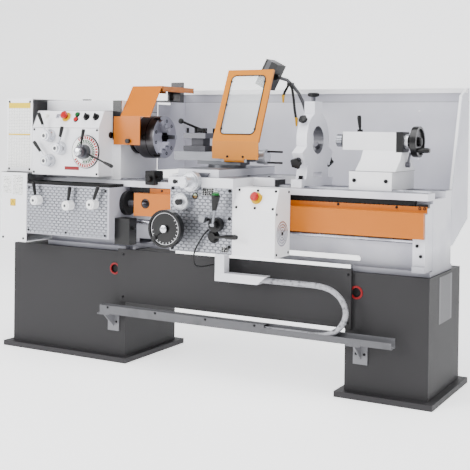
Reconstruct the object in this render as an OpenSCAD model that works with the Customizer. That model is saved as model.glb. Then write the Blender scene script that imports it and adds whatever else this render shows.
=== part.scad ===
// Centre lathe on two pedestals, 400 mm swing over the bed.
// Lengths in millimetres. X runs from the headstock to the tailstock, Y to the back, Z up.
// Stations are measured from the left pedestal's left face, its front face and the floor.

/* [Stand] */
// height of the pedestals with their foot plates
ped_h = 510; // [400:1:650]
// width of the left pedestal
ped_left_w = 676; // [500:1:800]
// width of the right pedestal
ped_right_w = 353; // [250:1:450]
// depth of both pedestals
ped_d = 431; // [380:1:520]
// clear span between the two pedestals
ped_span = 1096; // [800:1:1400]
// sheet thickness of the pedestals
ped_sheet = 6; // [3:0.5:10]
// thickness of the foot plates
foot_t = 24; // [12:1:40]
// how far a foot plate stands out of its pedestal
foot_out = 30; // [10:1:60]
// diameter of the lifting bar holes
lift_d = 44; // [30:1:60]

/* [Bed] */
// height of the ways above the floor
bed_top = 845; // [780:1:950]
// width over the two ways
bed_w = 330; // [280:1:400]
// width of the gap between the ways
bed_gap = 150; // [100:1:180]
// thickness of the ways
way_t = 30; // [20:1:40]
// height of the vee on the front way
vee_h = 8; // [4:1:12]
// thickness of the bed walls
wall_t = 25; // [15:1:35]
// number of cross ribs between the walls
rib_count = 7; // [4:1:10]

/* [Headstock] */
// spindle height above the ways
centre_h = 200; // [160:1:260]
// length of the headstock casting
head_w = 441; // [380:1:520]
// length of the gear lever cabinet on its front
cabinet_w = 393; // [330:1:420]
// depth of the gear lever cabinet
cabinet_d = 108; // [70:1:130]
// wall thickness of the castings
cast_t = 14; // [8:1:20]
// diameter of the hole through the spindle
spindle_bore = 52; // [30:1:60]
// outer diameter of the spindle
spindle_d = 90; // [80:1:110]
// diameter of the chuck
chuck_d = 200; // [160:1:250]
// length of the chuck body
chuck_l = 100; // [70:1:130]
// width of a chuck jaw
jaw_w = 20; // [14:1:26]

/* [Carriage] */
// length of the saddle wings along the bed
saddle_l = 515; // [400:1:600]
// width of the apron and of the saddle bridge
apron_w = 304; // [240:1:360]
// height of the apron
apron_h = 280; // [220:1:320]
// depth of the apron from its front to the leadscrew side
apron_d = 180; // [140:1:220]
// width of the drive box beside the apron
box_w = 196; // [150:1:240]
// width of the cross slide
cross_w = 200; // [150:1:240]
// length of the cross slide
cross_l = 527; // [400:1:600]
// length of the top slide
top_l = 405; // [300:1:450]
// side of the square tool turret
turret_w = 113; // [90:1:140]
// diameter of the carriage handwheel
wheel_d = 160; // [120:1:200]
// width of the chip shield
shield_w = 229; // [180:1:260]

/* [Shafts] */
// diameter of the leadscrew
lead_d = 32; // [24:1:40]
// diameter of the feed rod
feed_d = 24; // [16:1:30]

/* [Tailstock and steady rest] */
// diameter of the quill
quill_d = 54; // [40:1:60]
// length of the tailstock barrel
barrel_l = 235; // [180:1:300]
// diameter of the tailstock handwheel
tail_wheel_d = 128; // [100:1:160]
// inner diameter of the steady rest ring
steady_d = 120; // [100:1:150]
// thickness of the steady rest
steady_t = 48; // [30:1:60]

/* [Hidden] */
$fn = 48;
// running clearance of a shaft in its bore, on the radius
run = 0.05;
// stem of the push buttons, and how far it reaches into the panel
stem_r = 8;
stem_in = 12;
// gap between flat faces that slide on each other
slip = 0.3;
// depth of the sheet covers and guards
sheet = 3;

ped_right_x = ped_left_w + ped_span;
ped_right_end = ped_right_x + ped_right_w;
bed_x0 = 192;
bed_x1 = ped_right_end - 7;
bed_y0 = -15;
bed_y1 = bed_y0 + bed_w;
way_y = (bed_w - bed_gap) / 2;
vee_y = bed_y0 + 35;
wall_y = bed_y0 + 70;
spindle_y = bed_y0 + bed_w / 2;
spindle_z = bed_top + centre_h;

head_x0 = bed_x0;
head_x1 = head_x0 + head_w;
head_y0 = 8;
head_lid_z = spindle_z + 120;
head_top = head_lid_z + 50;
cab_x1 = head_x0 + cabinet_w;
cab_y0 = head_y0 - cabinet_d;
cab_z0 = bed_top + 15;
cab_fold_z = spindle_z + 37;
cab_lean = 42;
cover_w = 158;
cover_x0 = head_x0 - 2 - cover_w;
gear_y0 = cab_y0 - 35;
gear_x1 = bed_x0 + 483;
gear_z0 = bed_top - 265;
gear_z1 = bed_top - way_t - 1;

chuck_x1 = head_x1 + 152;
chuck_x0 = chuck_x1 - chuck_l;
jaw_r = 30;

lead_y = -2;
lead_z = bed_top - 107;
feed_z = bed_top - 190;
flange_x1 = gear_x1 + 20;
clutch_r = wall_y - 1 - lead_y;
rack_z = bed_top - way_t - 25;
cov_y0 = -57;
cov_z0 = lead_z - 70;
cov_z1 = lead_z + 32;
cov_lift = 20;
flange_h = 22;

sad_x0 = 935;
sad_x1 = sad_x0 + saddle_l;
apr_y0 = -200;
apr_y1 = apr_y0 + apron_d - 4;
apr_x0 = sad_x0 + 110;
apr_x1 = apr_x0 + apron_w;
apr_z1 = bed_top + 1;
apr_z0 = apr_z1 - apron_h;
sad_z1 = bed_top + 38;
cross_x = apr_x0 + 120;
cross_y0 = apr_y0 + 28;
cross_z1 = sad_z1 + 34;
dial_z = bed_top + 21;

comp_y = 80;
comp_z1 = cross_z1 + 28;
top_x0 = sad_x0 - 20;
top_x1 = top_x0 + top_l;
top_z1 = comp_z1 + 40;
top_y0 = comp_y - 50;
turret_x = top_x0 + 110;
turret_z1 = top_z1 + 83;
top_wheel_z = comp_z1 + 22;

shield_x0 = apr_x0 + 88;
shield_x1 = shield_x0 + shield_w;
shield_z0 = comp_z1 + 12;
shield_fold = shield_z0 + 76;
shield_h = 349;
shield_lean = 23.5;
hinge_y = 8;
hinge_z = shield_z0 - 7;

stead_x0 = sad_x1 + 76;
stead_x1 = stead_x0 + steady_t;
stead_r = steady_d / 2 + 58;
stead_x = (stead_x0 + stead_x1) / 2;
finger_r = 12;
knob_r = stead_r + 74;

tail_x0 = stead_x1 + 203;
tail_x1 = tail_x0 + 183;
barrel_x0 = tail_x0 - 72;
barrel_x1 = barrel_x0 + barrel_l;
quill_x0 = barrel_x0 - 37;
tail_wheel_x = barrel_x1 + 65;

guard_x0 = head_x1 + 4;
guard_x1 = ped_right_end - 8;
guard_y1 = 571;
guard_top = spindle_z + 238;

hood_x0 = 597;
hood_side = head_x1 + 2;
hood_x1 = chuck_x1 + 15;
hood_z0 = spindle_z - 37;
hood_fold = spindle_z + 95;
hood_top = spindle_z + 240;
hood_y1 = 97;
hood_rear = 384;
pivot_y = hood_rear + 11;
pivot_z = hood_top;

tray_x0 = 595;
tray_x1 = ped_right_x + 232;
tray_y0 = -90;
tray_y1 = -45;
tray_z0 = 232;
tray_cover_x1 = 1445;
hose_d = 25;
loop_z = 452;

origin_x = ped_right_end / 2;
wheel_y0 = -306;
origin_y = (wheel_y0 + guard_y1) / 2;

// ---------------------------------------------------------------- shared shapes

// moves the machine's stations to the frame of the part
module placed() translate([-origin_x, -origin_y, 0]) children();

// block between two corners
module block(a, b) translate(a) cube(b - a);

// cylinder along X, Y or Z
module bar_x(x0, x1, y, z, r) translate([x0, y, z]) rotate([0, 90, 0]) cylinder(h = x1 - x0, r = r);
module bar_y(y0, y1, x, z, r) translate([x, y1, z]) rotate([90, 0, 0]) cylinder(h = y1 - y0, r = r);
module bar_z(z0, z1, x, y, r) translate([x, y, z0]) cylinder(h = z1 - z0, r = r);

// an outline drawn in Y and Z, made into a slab from x0 to x1
module slab_x(x0, x1, outline)
    translate([x0, 0, 0]) rotate([90, 0, 90]) linear_extrude(x1 - x0) polygon(outline);

// an outline drawn in X and Z, made into a slab from y0 to y1
module slab_y(y0, y1, outline)
    translate([0, y1, 0]) rotate([90, 0, 0]) linear_extrude(y1 - y0) polygon(outline);

// the vee of the front way, larger by a gap where it is cut out of what rides on it
module vee(x0, x1, gap)
    slab_x(x0, x1, [[vee_y - 14 - gap, bed_top - 1], [vee_y + 14 + gap, bed_top - 1],
        [vee_y + 3, bed_top + vee_h + gap], [vee_y - 3, bed_top + vee_h + gap]]);

// tapered grip along Z, its foot at the origin
module grip(length, r) {
    cylinder(h = length - r, r1 = r * 0.7, r2 = r);
    translate([0, 0, length - r]) cylinder(h = r, r1 = r, r2 = r * 0.8);
}

// gear lever on a front face: a stepped hub along -Y and a lever in the plane of the face
module lever(x, y, z, hub_l, hub_r, angle, reach, grip_l) {
    bar_y(y - hub_l, y, x, z, hub_r);
    bar_y(y - hub_l - 6, y - hub_l, x, z, hub_r * 0.62);
    translate([x, y - hub_l * 0.62, z]) rotate([0, angle, 0]) {
        cylinder(h = reach - grip_l + 2, r = 4.5);
        translate([0, 0, reach - grip_l]) grip(grip_l, 9);
    }
}

// turns a shape that stands up along Z so that it stands out of a front that leans back
module on_front(x, y, z, lean) translate([x, y, z]) rotate([90 - lean, 0, 0]) children();

// mushroom push button, with its stem through the sheet
module mushroom(x, y, z, lean) on_front(x, y, z, lean) {
    translate([0, 0, -stem_in]) cylinder(h = 14 + stem_in, r = stem_r);
    translate([0, 0, 12]) cylinder(h = 14, r1 = 15, r2 = 19);
    translate([0, 0, 26]) cylinder(h = 7, r1 = 19, r2 = 12);
}

// ring of one section around a point of a route that lies in one X-Z plane
function ring_at(p, ahead, y, r, n) = [for (k = [0 : n - 1])
    let (a = 360 * k / n, up = [-ahead[1], ahead[0]])
    [p[0] + r * cos(a) * up[0], y + r * sin(a), p[1] + r * cos(a) * up[1]]];

function unit(v) = v / norm(v);

// tube of n sides along a route of X-Z points at one Y
module tube(route, y, r, n) {
    last = len(route) - 1;
    rings = [for (i = [0 : last]) each ring_at(route[i],
        unit(route[min(i + 1, last)] - route[max(i - 1, 0)]), y, r, n)];
    sides = [for (i = [0 : last - 1], k = [0 : n - 1])
        let (a = i * n + k, b = i * n + (k + 1) % n) [a, b, b + n, a + n]];
    first_cap = [[for (k = [n - 1 : -1 : 0]) k]];
    last_cap = [[for (k = [0 : n - 1]) last * n + k]];
    polyhedron(points = rings, faces = concat(sides, first_cap, last_cap), convexity = 6);
}

// ---------------------------------------------------------------- stand

// hollow cabinet on a foot plate, with lifting holes front and rear
module pedestal(x0, w, hole_x) {
    difference() {
        block([x0, 0, foot_t], [x0 + w, ped_d, ped_h]);
        block([x0 + ped_sheet, ped_sheet, foot_t], [x0 + w - ped_sheet, ped_d - ped_sheet, ped_h - ped_sheet]);
        bar_y(-1, ped_d + 1, hole_x, 428, lift_d / 2);
    }
    block([x0 - foot_out, -foot_out - 10, 0], [x0 + w + foot_out, ped_d + foot_out + 10, foot_t]);
}

module pedestal_left() color([0.36, 0.35, 0.36]) placed() {
    pedestal(0, ped_left_w, ped_left_w - 62);
    front_panel();
}

module pedestal_right() color([0.36, 0.35, 0.36]) placed() pedestal(ped_right_x, ped_right_w, ped_right_x + 48);

// sheet between the pedestals, folded back at its top and ends
module front_panel() {
    x0 = ped_left_w - 36;
    x1 = ped_right_x + 31;
    difference() {
        block([x0, -15, 280], [x1, 0, ped_h + 14]);
        block([x0 + sheet, -15 + sheet, 279], [x1 - sheet, 1, ped_h + 14 - sheet]);
    }
}

// channel for the drag hose, covered over its left part, on two gusseted brackets
module cable_trough() color([0.45, 0.44, 0.46]) placed() {
    difference() {
        block([tray_x0, tray_y0, tray_z0], [tray_x1, tray_y1, tray_z0 + 38]);
        block([tray_x0 + sheet, tray_y0 + sheet, tray_z0 + sheet],
            [tray_x1 + 1, tray_y1 - sheet, tray_z0 + 38 - sheet]);
        block([tray_cover_x1, tray_y0 - 1, tray_z0 + 26], [tray_x1 + 1, tray_y1 - sheet, tray_z0 + 39]);
    }
    for (x = [581, ped_right_x + 39]) {
        block([x, -6, 138], [x + 62, 0, tray_z0]);
        block([x, tray_y0, tray_z0 - 6], [x + 62, 0, tray_z0]);
        slab_x(x + 28, x + 34, [[-6, tray_z0 - 6], [tray_y0 + 8, tray_z0 - 6], [-6, 160]]);
    }
}

// route of the ribbed drag hose in X and Z: out of the trough cover, round and back to the carriage
hose_z = tray_z0 + sheet + hose_d / 2 + 0.5;
hose_route = [
    [1370, hose_z], [1410, hose_z], [1450, hose_z], [1500, hose_z], [1550, hose_z], [1600, hose_z],
    [1650, hose_z],
    [1685, hose_z + 1], [1712, hose_z + 5], [1738, hose_z + 14], [1762, hose_z + 28], [1782, hose_z + 48],
    [1796, hose_z + 73], [1802, hose_z + 102], [1796, hose_z + 131], [1782, hose_z + 156],
    [1762, hose_z + 176], [1738, hose_z + 190], [1712, hose_z + 198], [1685, loop_z - 2],
    [1650, loop_z], [1600, loop_z], [1550, loop_z], [1500, loop_z], [1450, loop_z], [1400, loop_z],
    [1340, loop_z]
];
module conduit() color([0.78, 0.78, 0.78]) placed() tube(hose_route, (tray_y0 + tray_y1) / 2, hose_d / 2, 12);

// ---------------------------------------------------------------- bed

module bed() color([0.86, 0.86, 0.88]) placed() {
    // front and rear ways with their walls; the walls stop higher between the pedestals
    block([bed_x0, bed_y0, bed_top - way_t], [bed_x1, bed_y0 + way_y, bed_top]);
    block([bed_x0, bed_y1 - way_y, bed_top - way_t], [bed_x1, bed_y1, bed_top]);
    vee(head_x1, bed_x1, 0);
    difference() {
        block([bed_x0, wall_y, ped_h], [bed_x1, wall_y + wall_t, bed_top - way_t]);
        block([ped_left_w, wall_y - 1, ped_h - 1], [ped_right_x, wall_y + wall_t + 1, ped_h + 21]);
        block([ped_left_w + 20, wall_y - 1, ped_h + 37], [ped_right_x + 30, wall_y + wall_t + 1, ped_h + 62]);
        bar_y(wall_y - 1, wall_y + wall_t + 1, ped_right_x + 30, ped_h + 49.5, 12.5);
    }
    difference() {
        block([bed_x0, bed_y1 - 30, ped_h], [bed_x1, bed_y1 - 30 + wall_t, bed_top - way_t]);
        block([ped_left_w, bed_y1 - 31, ped_h - 1], [ped_right_x, bed_y1, ped_h + 65]);
    }
    // foot plates on the pedestals
    block([bed_x0, wall_y - 30, ped_h], [ped_left_w - 20, bed_y1 + 10, ped_h + 22]);
    block([ped_right_x + 20, wall_y - 30, ped_h], [bed_x1, bed_y1 + 10, ped_h + 22]);
    // cross ribs and end walls
    rib_x0 = head_x1 + 30;
    rib_pitch = (bed_x1 - 30 - rib_x0) / (rib_count - 1);
    for (i = [0 : rib_count - 1])
        block([rib_x0 + i * rib_pitch, wall_y + wall_t, ped_h + 90],
            [rib_x0 + i * rib_pitch + 18, bed_y1 - 30, bed_top - way_t - 20]);
    block([bed_x1 - 18, wall_y, ped_h], [bed_x1, bed_y1 - 5, bed_top - way_t]);
    block([bed_x0, wall_y, ped_h], [bed_x0 + 18, bed_y1, bed_top - way_t]);
    // deck that carries the headstock
    block([bed_x0, bed_y0 + way_y, bed_top - way_t], [head_x1, bed_y1 - way_y, bed_top]);
    end_bracket();
    // rack below the front way, with a flat toothed edge
    difference() {
        block([flange_x1 + 5, -10, rack_z], [bed_x1 - 54, 15, rack_z + 25]);
        for (x = [flange_x1 + 15 : 20 : bed_x1 - 66])
            block([x, -11, rack_z - 1], [x + 8, 16, rack_z + 6]);
    }
}

// bearing bracket of the leadscrew and feed rod at the bed's right end
module end_bracket() difference() {
    union() {
        block([bed_x1 - 52, -38, ped_h + 25], [bed_x1 - 1, wall_y, cov_z1 - 6]);
        block([bed_x1 - 44, -9, cov_z1 - 6], [bed_x1 - 1, wall_y, cov_z1 + 30]);
        block([bed_x1 - 52, -46, ped_h + 25], [bed_x1 - 1, -38, ped_h + 49]);
    }
    bar_x(bed_x1 - 53, bed_x1 - 14, lead_y, lead_z, lead_d / 2 + run);
    bar_x(bed_x1 - 53, bed_x1 - 14, lead_y, feed_z, feed_d / 2 + run);
}

// threaded shaft, drawn as a plain shaft with a few shoulders
module leadscrew() color([0.75, 0.75, 0.77]) placed() {
    bar_x(gear_x1 - 20, bed_x1 - 15, lead_y, lead_z, lead_d / 2);
}

module feed_rod() color([0.75, 0.75, 0.77]) placed() {
    bar_x(gear_x1 - 20, bed_x1 - 15, lead_y, feed_z, feed_d / 2);
}

// folded sheet over the leadscrew: upright flange, shelf and front
module screw_cover(x0, x1, flange_x0, flange_y, lift) {
    block([flange_x0, flange_y - sheet, cov_z1 + lift - sheet], [x1, flange_y, cov_z1 + lift + flange_h]);
    block([x0, cov_y0, cov_z1 + lift - sheet], [x1, flange_y, cov_z1 + lift]);
    block([x0, cov_y0, cov_z0 + lift], [x1, cov_y0 + sheet, cov_z1 + lift]);
}

module cover_right() color([0.97, 0.67, 0.0]) placed() {
    x0 = apr_x1 + 71;
    screw_cover(x0, bed_x1 - 3, x0, -10, 0);
    block([bed_x1 - 6, cov_y0, cov_z0], [bed_x1 - 3, -40, cov_z1]);
}

module cover_left() color([0.97, 0.67, 0.0]) placed() difference() {
    union() {
        screw_cover(flange_x1 + 61, apr_x0, flange_x1 + 120, -11.5, cov_lift);
        block([apr_x0 - sheet, cov_y0, cov_z0 + cov_lift], [apr_x0, -24, cov_z1 + cov_lift]);
    }
    bar_y(cov_y0 - 1, cov_y0 + sheet + 1, flange_x1 + 124, lead_z + 7, 20);
}

// sheet back wall with a folded head, a sloping foot, and a wall at each end
module splash_guard() color([0.84, 0.84, 0.85]) placed() {
    y0 = guard_y1 - 6;
    // back wall, head leaning forward and its front lip
    block([guard_x0, y0, 706], [guard_x1, y0 + sheet, guard_top - 60]);
    slab_x(guard_x0, guard_x1, [[y0, guard_top - 60], [y0 + sheet, guard_top - 60],
        [y0 - 17, guard_top], [y0 - 20, guard_top]]);
    block([guard_x0, y0 - 20, guard_top - 3], [guard_x1, y0 + 6, guard_top]);
    block([guard_x0, y0 - 20, guard_top - 22], [guard_x1, y0 - 17, guard_top]);
    // sloping foot down to the back of the bed
    slab_x(guard_x0, guard_x1, [[y0 + sheet, 706], [y0 + sheet, 702], [341, 607], [bed_y1 - 5, 607],
        [bed_y1 - 5, 610], [341, 610], [y0, 706]]);
    // right wall with its bright front rim, cut clear of the bed
    difference() {
        union() {
            slab_x(guard_x1 - sheet, guard_x1, [[302, 764], [460, guard_top - 38], [y0 - 20, guard_top],
                [y0 + 6, guard_top], [y0 + 6, 704], [341, 607], [bed_y1 - 5, 607], [bed_y1 + 6, 764]]);
            slab_x(guard_x1 - 14, guard_x1, [[302, 764], [460, guard_top - 38], [464, guard_top - 38],
                [306, 764]]);
        }
        block([guard_x1 - 15, bed_y1 - 20, 606], [guard_x1 + 1, bed_y1 + 1, bed_top + 1]);
    }
    slab_x(guard_x1 - 14, guard_x1, [[460, guard_top - 38], [y0 - 20, guard_top], [y0 - 17, guard_top - 3],
        [464, guard_top - 41]]);
    // left wall beside the headstock
    slab_x(guard_x0, guard_x0 + sheet, [[bed_y1, bed_top + 35], [y0 + sheet, bed_top + 35],
        [y0 + sheet, guard_top - 20], [425, guard_top - 20], [425, head_top - 10], [bed_y1, head_top - 10]]);
}

// ---------------------------------------------------------------- headstock

module headstock() color([0.9, 0.9, 0.92]) placed() {
    difference() {
        union() {
            block([head_x0, head_y0, bed_top], [head_x1, bed_y1, head_lid_z]);
            slab_x(head_x0, cab_x1, [[cab_y0, cab_z0], [head_y0, cab_z0], [head_y0, head_lid_z],
                [cab_y0 + cab_lean, head_lid_z], [cab_y0, cab_fold_z]]);
            bar_x(head_x1, head_x1 + 16, spindle_y, spindle_z, spindle_d / 2 + 36);
        }
        block([head_x0 + cast_t, head_y0 + cast_t, bed_top + cast_t],
            [head_x1 - cast_t, bed_y1 - cast_t, head_lid_z - cast_t]);
        slab_x(head_x0 + cast_t, cab_x1 - cast_t, [
            [cab_y0 + cast_t, cab_z0 + cast_t], [head_y0, cab_z0 + cast_t],
            [head_y0, head_lid_z - cast_t], [cab_y0 + cab_lean + cast_t, head_lid_z - cast_t],
            [cab_y0 + cast_t, cab_fold_z]]);
        bar_x(head_x0 - 1, head_x1 + 17, spindle_y, spindle_z, spindle_d / 2 + run);
        // holes for the push buttons
        on_front(stop_x, panel_y, panel_z, panel_lean)
            translate([0, 0, -30]) cylinder(h = 31, r = stem_r + slip);
        for (s = [-1, 1]) on_front(button_x, panel_y, panel_z, panel_lean)
            translate([0, 13 * s, -30]) cylinder(h = 31, r = button_r + slip);
    }
    // round speed plate with the boss that both speed levers turn on
    bar_y(cab_y0 - 6, cab_y0, dial_x, dial_z0, 76);
    bar_y(cab_y0 - 62, cab_y0 - 6, dial_x, dial_z0, dial_boss);
    // lid with its filler cap, and the sight glass on the cabinet's right side
    block([head_x0, head_y0, head_lid_z], [head_x1, bed_y1, head_top]);
    bar_z(head_top, head_top + 10, 324, spindle_y, 22);
    bar_x(cab_x1, cab_x1 + 5, -9, spindle_z + 7, 15);
    // hinge post of the chuck guard
    block([head_x1 - 70, bed_y1 - 25, head_top], [head_x1 + 87, pivot_y + 26, head_top + 8]);
    for (x = [head_x1 + 12, head_x1 + 76]) {
        block([x, pivot_y - 9, head_top + 8], [x + 11, pivot_y + 9, pivot_z]);
        bar_x(x, x + 11, pivot_y, pivot_z, 9);
    }
    bar_x(head_x1 + 12, head_x1 + 87, pivot_y, pivot_z, 5);
    // interlock switch behind the hinge
    block([head_x1 + 20, pivot_y + 11, head_top + 8], [head_x1 + 87, pivot_y + 26, pivot_z + 32]);
}

// belt and change gear covers at the left end, open towards the machine
module end_cover() color([0.92, 0.92, 0.93]) placed() {
    x1 = cover_x0 + cover_w;
    difference() {
        union() {
            block([cover_x0, cab_y0, cab_z0 + 8], [x1, bed_y1, head_top + 7]);
            block([cover_x0, gear_y0, ped_h + 25], [x1, bed_y1, cab_z0 + 8]);
        }
        block([cover_x0 + 4, cab_y0 + 4, cab_z0], [x1 + 1, bed_y1 - 4, head_top + 3]);
        block([cover_x0 + 4, gear_y0 + 4, ped_h + 29], [x1 + 1, bed_y1 - 4, cab_z0 + 4]);
        // opening for bar stock in line with the spindle
        bar_x(cover_x0 - 1, cover_x0 + 5, spindle_y, spindle_z, spindle_bore / 2 + 8);
    }
    // fixing strip on the end of the bed
    block([x1 - 4, wall_y, ped_h + 29], [x1 + 2, wall_y + 60, bed_top - 40]);
    block([cover_x0 + 4, wall_y, ped_h + 29], [x1, wall_y + 4, ped_h + 89]);
}

module gearbox() color([0.78, 0.78, 0.8]) placed() {
    difference() {
        block([bed_x0, gear_y0, gear_z0], [gear_x1, wall_y - 1, gear_z1]);
        block([bed_x0 + 12, gear_y0 + 12, gear_z0 + 12], [gear_x1 - 12, wall_y - 13, gear_z1 - 12]);
        bar_x(gear_x1 - 13, gear_x1 + 1, lead_y, lead_z, lead_d / 2 + run);
        bar_x(gear_x1 - 13, gear_x1 + 1, lead_y, feed_z, feed_d / 2 + run);
    }
    // round safety clutch cover on the leadscrew's outlet
    difference() {
        bar_x(gear_x1, flange_x1, lead_y, lead_z, clutch_r);
        bar_x(gear_x1 - 1, flange_x1 + 1, lead_y, lead_z, lead_d / 2 + run);
    }
    // pads that seat the box on the bed's front wall
    for (x = [bed_x0 + 40, gear_x1 - 100])
        block([x, wall_y - 1, gear_z0 + 30], [x + 60, wall_y, gear_z1 - 30]);
    // switch housing of the control rod, with its cable gland
    block([gear_x1, -92, ped_h + 45], [gear_x1 + 82, -34, ped_h + 165]);
    bar_x(gear_x1 + 82, gear_x1 + 96, -63, ped_h + 120, 9);
}

// hollow spindle with its nose flange and the driven pulley
module spindle() color([0.7, 0.7, 0.72]) placed() difference() {
    union() {
        bar_x(cover_x0 + 26, chuck_x0 - 13, spindle_y, spindle_z, spindle_d / 2);
        bar_x(head_x1 + 18, chuck_x0 - 13, spindle_y, spindle_z, spindle_d / 2 + 30);
        bar_x(cover_x0 + 60, cover_x0 + 130, spindle_y, spindle_z, spindle_d / 2 + 40);
        bar_x(head_x0 + 120, head_x0 + 160, spindle_y, spindle_z, head_lid_z - cast_t - 1 - spindle_z);
    }
    bar_x(cover_x0 + 25, chuck_x0, spindle_y, spindle_z, spindle_bore / 2);
}

// places a shape drawn for the top jaw at one of the three jaw angles
module at_jaw(i) translate([0, spindle_y, spindle_z]) rotate([120 * i - 90, 0, 0])
    translate([0, -spindle_y, -spindle_z]) children();

module chuck() color([0.35, 0.35, 0.36]) placed() difference() {
    union() {
        bar_x(chuck_x0 - 13, chuck_x0, spindle_y, spindle_z, chuck_d / 2 - 12);
        bar_x(chuck_x0, chuck_x1, spindle_y, spindle_z, chuck_d / 2);
    }
    bar_x(chuck_x0 - 14, chuck_x1 + 1, spindle_y, spindle_z, spindle_bore / 2);
    for (i = [0 : 2]) at_jaw(i)
        block([chuck_x1 - 28, spindle_y - jaw_w / 2, spindle_z + 20],
            [chuck_x1 + 1, spindle_y + jaw_w / 2, spindle_z + chuck_d]);
}

// stepped jaw in its slot
module chuck_jaw(i) color([0.6, 0.6, 0.62]) placed() at_jaw(i) {
    y0 = spindle_y - jaw_w / 2 + slip;
    y1 = spindle_y + jaw_w / 2 - slip;
    block([chuck_x1 - 28 + slip, y0, spindle_z + jaw_r], [chuck_x1, y1, spindle_z + 88]);
    block([chuck_x1, y0, spindle_z + jaw_r], [chuck_x1 + 38, y1, spindle_z + jaw_r + 18]);
    block([chuck_x1, y0, spindle_z + jaw_r + 18], [chuck_x1 + 26, y1, spindle_z + jaw_r + 36]);
    block([chuck_x1, y0, spindle_z + jaw_r + 36], [chuck_x1 + 13, y1, spindle_z + 88]);
}
module chuck_jaw_1() chuck_jaw(0);
module chuck_jaw_2() chuck_jaw(1);
module chuck_jaw_3() chuck_jaw(2);

// folded yellow hood over the chuck, on a knuckle at its rear
module chuck_guard() color([0.99, 0.78, 0.0]) placed() {
    block([hood_x0, 0, hood_z0], [hood_x0 + 148, sheet, hood_fold]);
    slab_x(hood_side, hood_x1, [[0, hood_fold - 2], [sheet, hood_fold - 2], [hood_y1 + 1, hood_top - sheet],
        [hood_rear, hood_top - sheet], [hood_rear, hood_top], [hood_y1, hood_top], [0, hood_fold + 2]]);
    for (x = [hood_side, hood_x1 - sheet])
        block([x, hood_y1 + 8, hood_top - 25], [x + sheet, hood_rear, hood_top - sheet]);
    difference() {
        union() {
            bar_x(head_x1 + 23.5, head_x1 + 75.5, pivot_y, pivot_z, 9);
            block([head_x1 + 23.5, hood_rear - 4, hood_top - sheet], [head_x1 + 75.5, pivot_y - 7, hood_top]);
        }
        bar_x(head_x1 + 23, head_x1 + 76, pivot_y, pivot_z, 5 + run);
    }
    bar_y(-16, 0, 683, hood_z0 + 18, 11);
}

// ---------------------------------------------------------------- headstock controls

dial_x = 514;
dial_z0 = spindle_z - 71;
dial_boss = 12;

// one lever with a ring hub on the boss of the speed plate
module speed_lever(y0, y1, hub_r, angle, reach) color([0.15, 0.15, 0.15]) placed() {
    difference() {
        union() {
            bar_y(y0, y1, dial_x, dial_z0, hub_r);
            translate([dial_x, (y0 + y1) / 2, dial_z0]) rotate([0, angle, 0]) {
                translate([0, 0, 18]) cylinder(h = reach - 66, r = 4.5);
                translate([0, 0, reach - 50]) grip(50, 8.5);
            }
        }
        bar_y(y0 - 1, y1 + 1, dial_x, dial_z0, dial_boss + run);
    }
}
module speed_lever_a() speed_lever(cab_y0 - 60, cab_y0 - 36, 24, 12, 106);
module speed_lever_b() speed_lever(cab_y0 - 35, cab_y0 - 8, 34, 111, 178);

module head_lever_1() color([0.8, 0.8, 0.82]) placed()
    lever(302, cab_y0, spindle_z, 44, 25, -25, 118, 62);
module head_lever_2() color([0.8, 0.8, 0.82]) placed()
    lever(369, cab_y0, spindle_z - 58, 44, 25, 14, 105, 62);
module head_lever_3() color([0.8, 0.8, 0.82]) placed()
    lever(303, cab_y0, spindle_z - 118, 44, 25, -41, 118, 62);

// controls on the leaning panel
panel_up = 52;
panel_lean = atan(cab_lean / (head_lid_z - cab_fold_z));
panel_z = cab_fold_z + panel_up;
panel_y = cab_y0 + panel_up * tan(panel_lean);
stop_x = 377;
button_x = 438;
button_r = 10;

module head_stop() color([0.85, 0.1, 0.15]) placed() mushroom(stop_x, panel_y, panel_z, panel_lean);

module panel_button(up) placed() on_front(button_x, panel_y, panel_z, panel_lean)
    translate([0, up, -stem_in]) cylinder(h = stem_in + 8, r = button_r);
module start_button() color([0.1, 0.6, 0.3]) panel_button(13);
module stop_button() color([0.8, 0.1, 0.15]) panel_button(-13);

module selector(x) color([0.1, 0.1, 0.1]) placed() on_front(x, panel_y, panel_z, panel_lean) {
    translate([0, 0, slip]) cylinder(h = 8, r = 13);
    translate([-4, -13, 8]) cube([8, 26, 12]);
}
module selector_1() selector(496);
module selector_2() selector(551);

gear_lever_z = gear_z1 - 75;
module gear_lever_1() color([0.93, 0.93, 0.94]) placed()
    lever(270, gear_y0, gear_lever_z + 2, 42, 22, -11, 88, 62);
module gear_lever_2() color([0.93, 0.93, 0.94]) placed()
    lever(458, gear_y0, gear_lever_z - 14, 42, 22, 8, 88, 62);
module gear_lever_3() color([0.93, 0.93, 0.94]) placed()
    lever(598, gear_y0, gear_lever_z - 2, 42, 22, 22, 88, 62);

// ---------------------------------------------------------------- carriage

module saddle() color([0.9, 0.9, 0.92]) placed() difference() {
    union() {
        // front wing, rear wing and the bridge between them
        block([sad_x0, bed_y0 - 4, bed_top + slip], [sad_x1, bed_y0 + way_y + 5, sad_z1]);
        block([sad_x0, bed_y1 - way_y - 5, bed_top + slip], [sad_x1, bed_y1 + 12, sad_z1]);
        block([apr_x0, bed_y0 + way_y + 5, bed_top + slip], [apr_x1, bed_y1 - way_y - 5, sad_z1]);
        block([apr_x0 - 12, apr_y0, apr_z1], [apr_x1, bed_y0 - 4, sad_z1]);
        // dovetail of the cross slide
        slab_y(apr_y0 + 20, bed_y1 + 12, [[cross_x - 45, sad_z1 - 1], [cross_x + 45, sad_z1 - 1],
            [cross_x + 57, sad_z1 + 18], [cross_x - 57, sad_z1 + 18]]);
        // lamp foot behind the rear wing
        block([sad_x1 - 40, bed_y1 + 12, bed_top + 10], [sad_x1, bed_y1 + 60, sad_z1]);
    }
    vee(sad_x0 - 1, sad_x1 + 1, slip);
}

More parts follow.
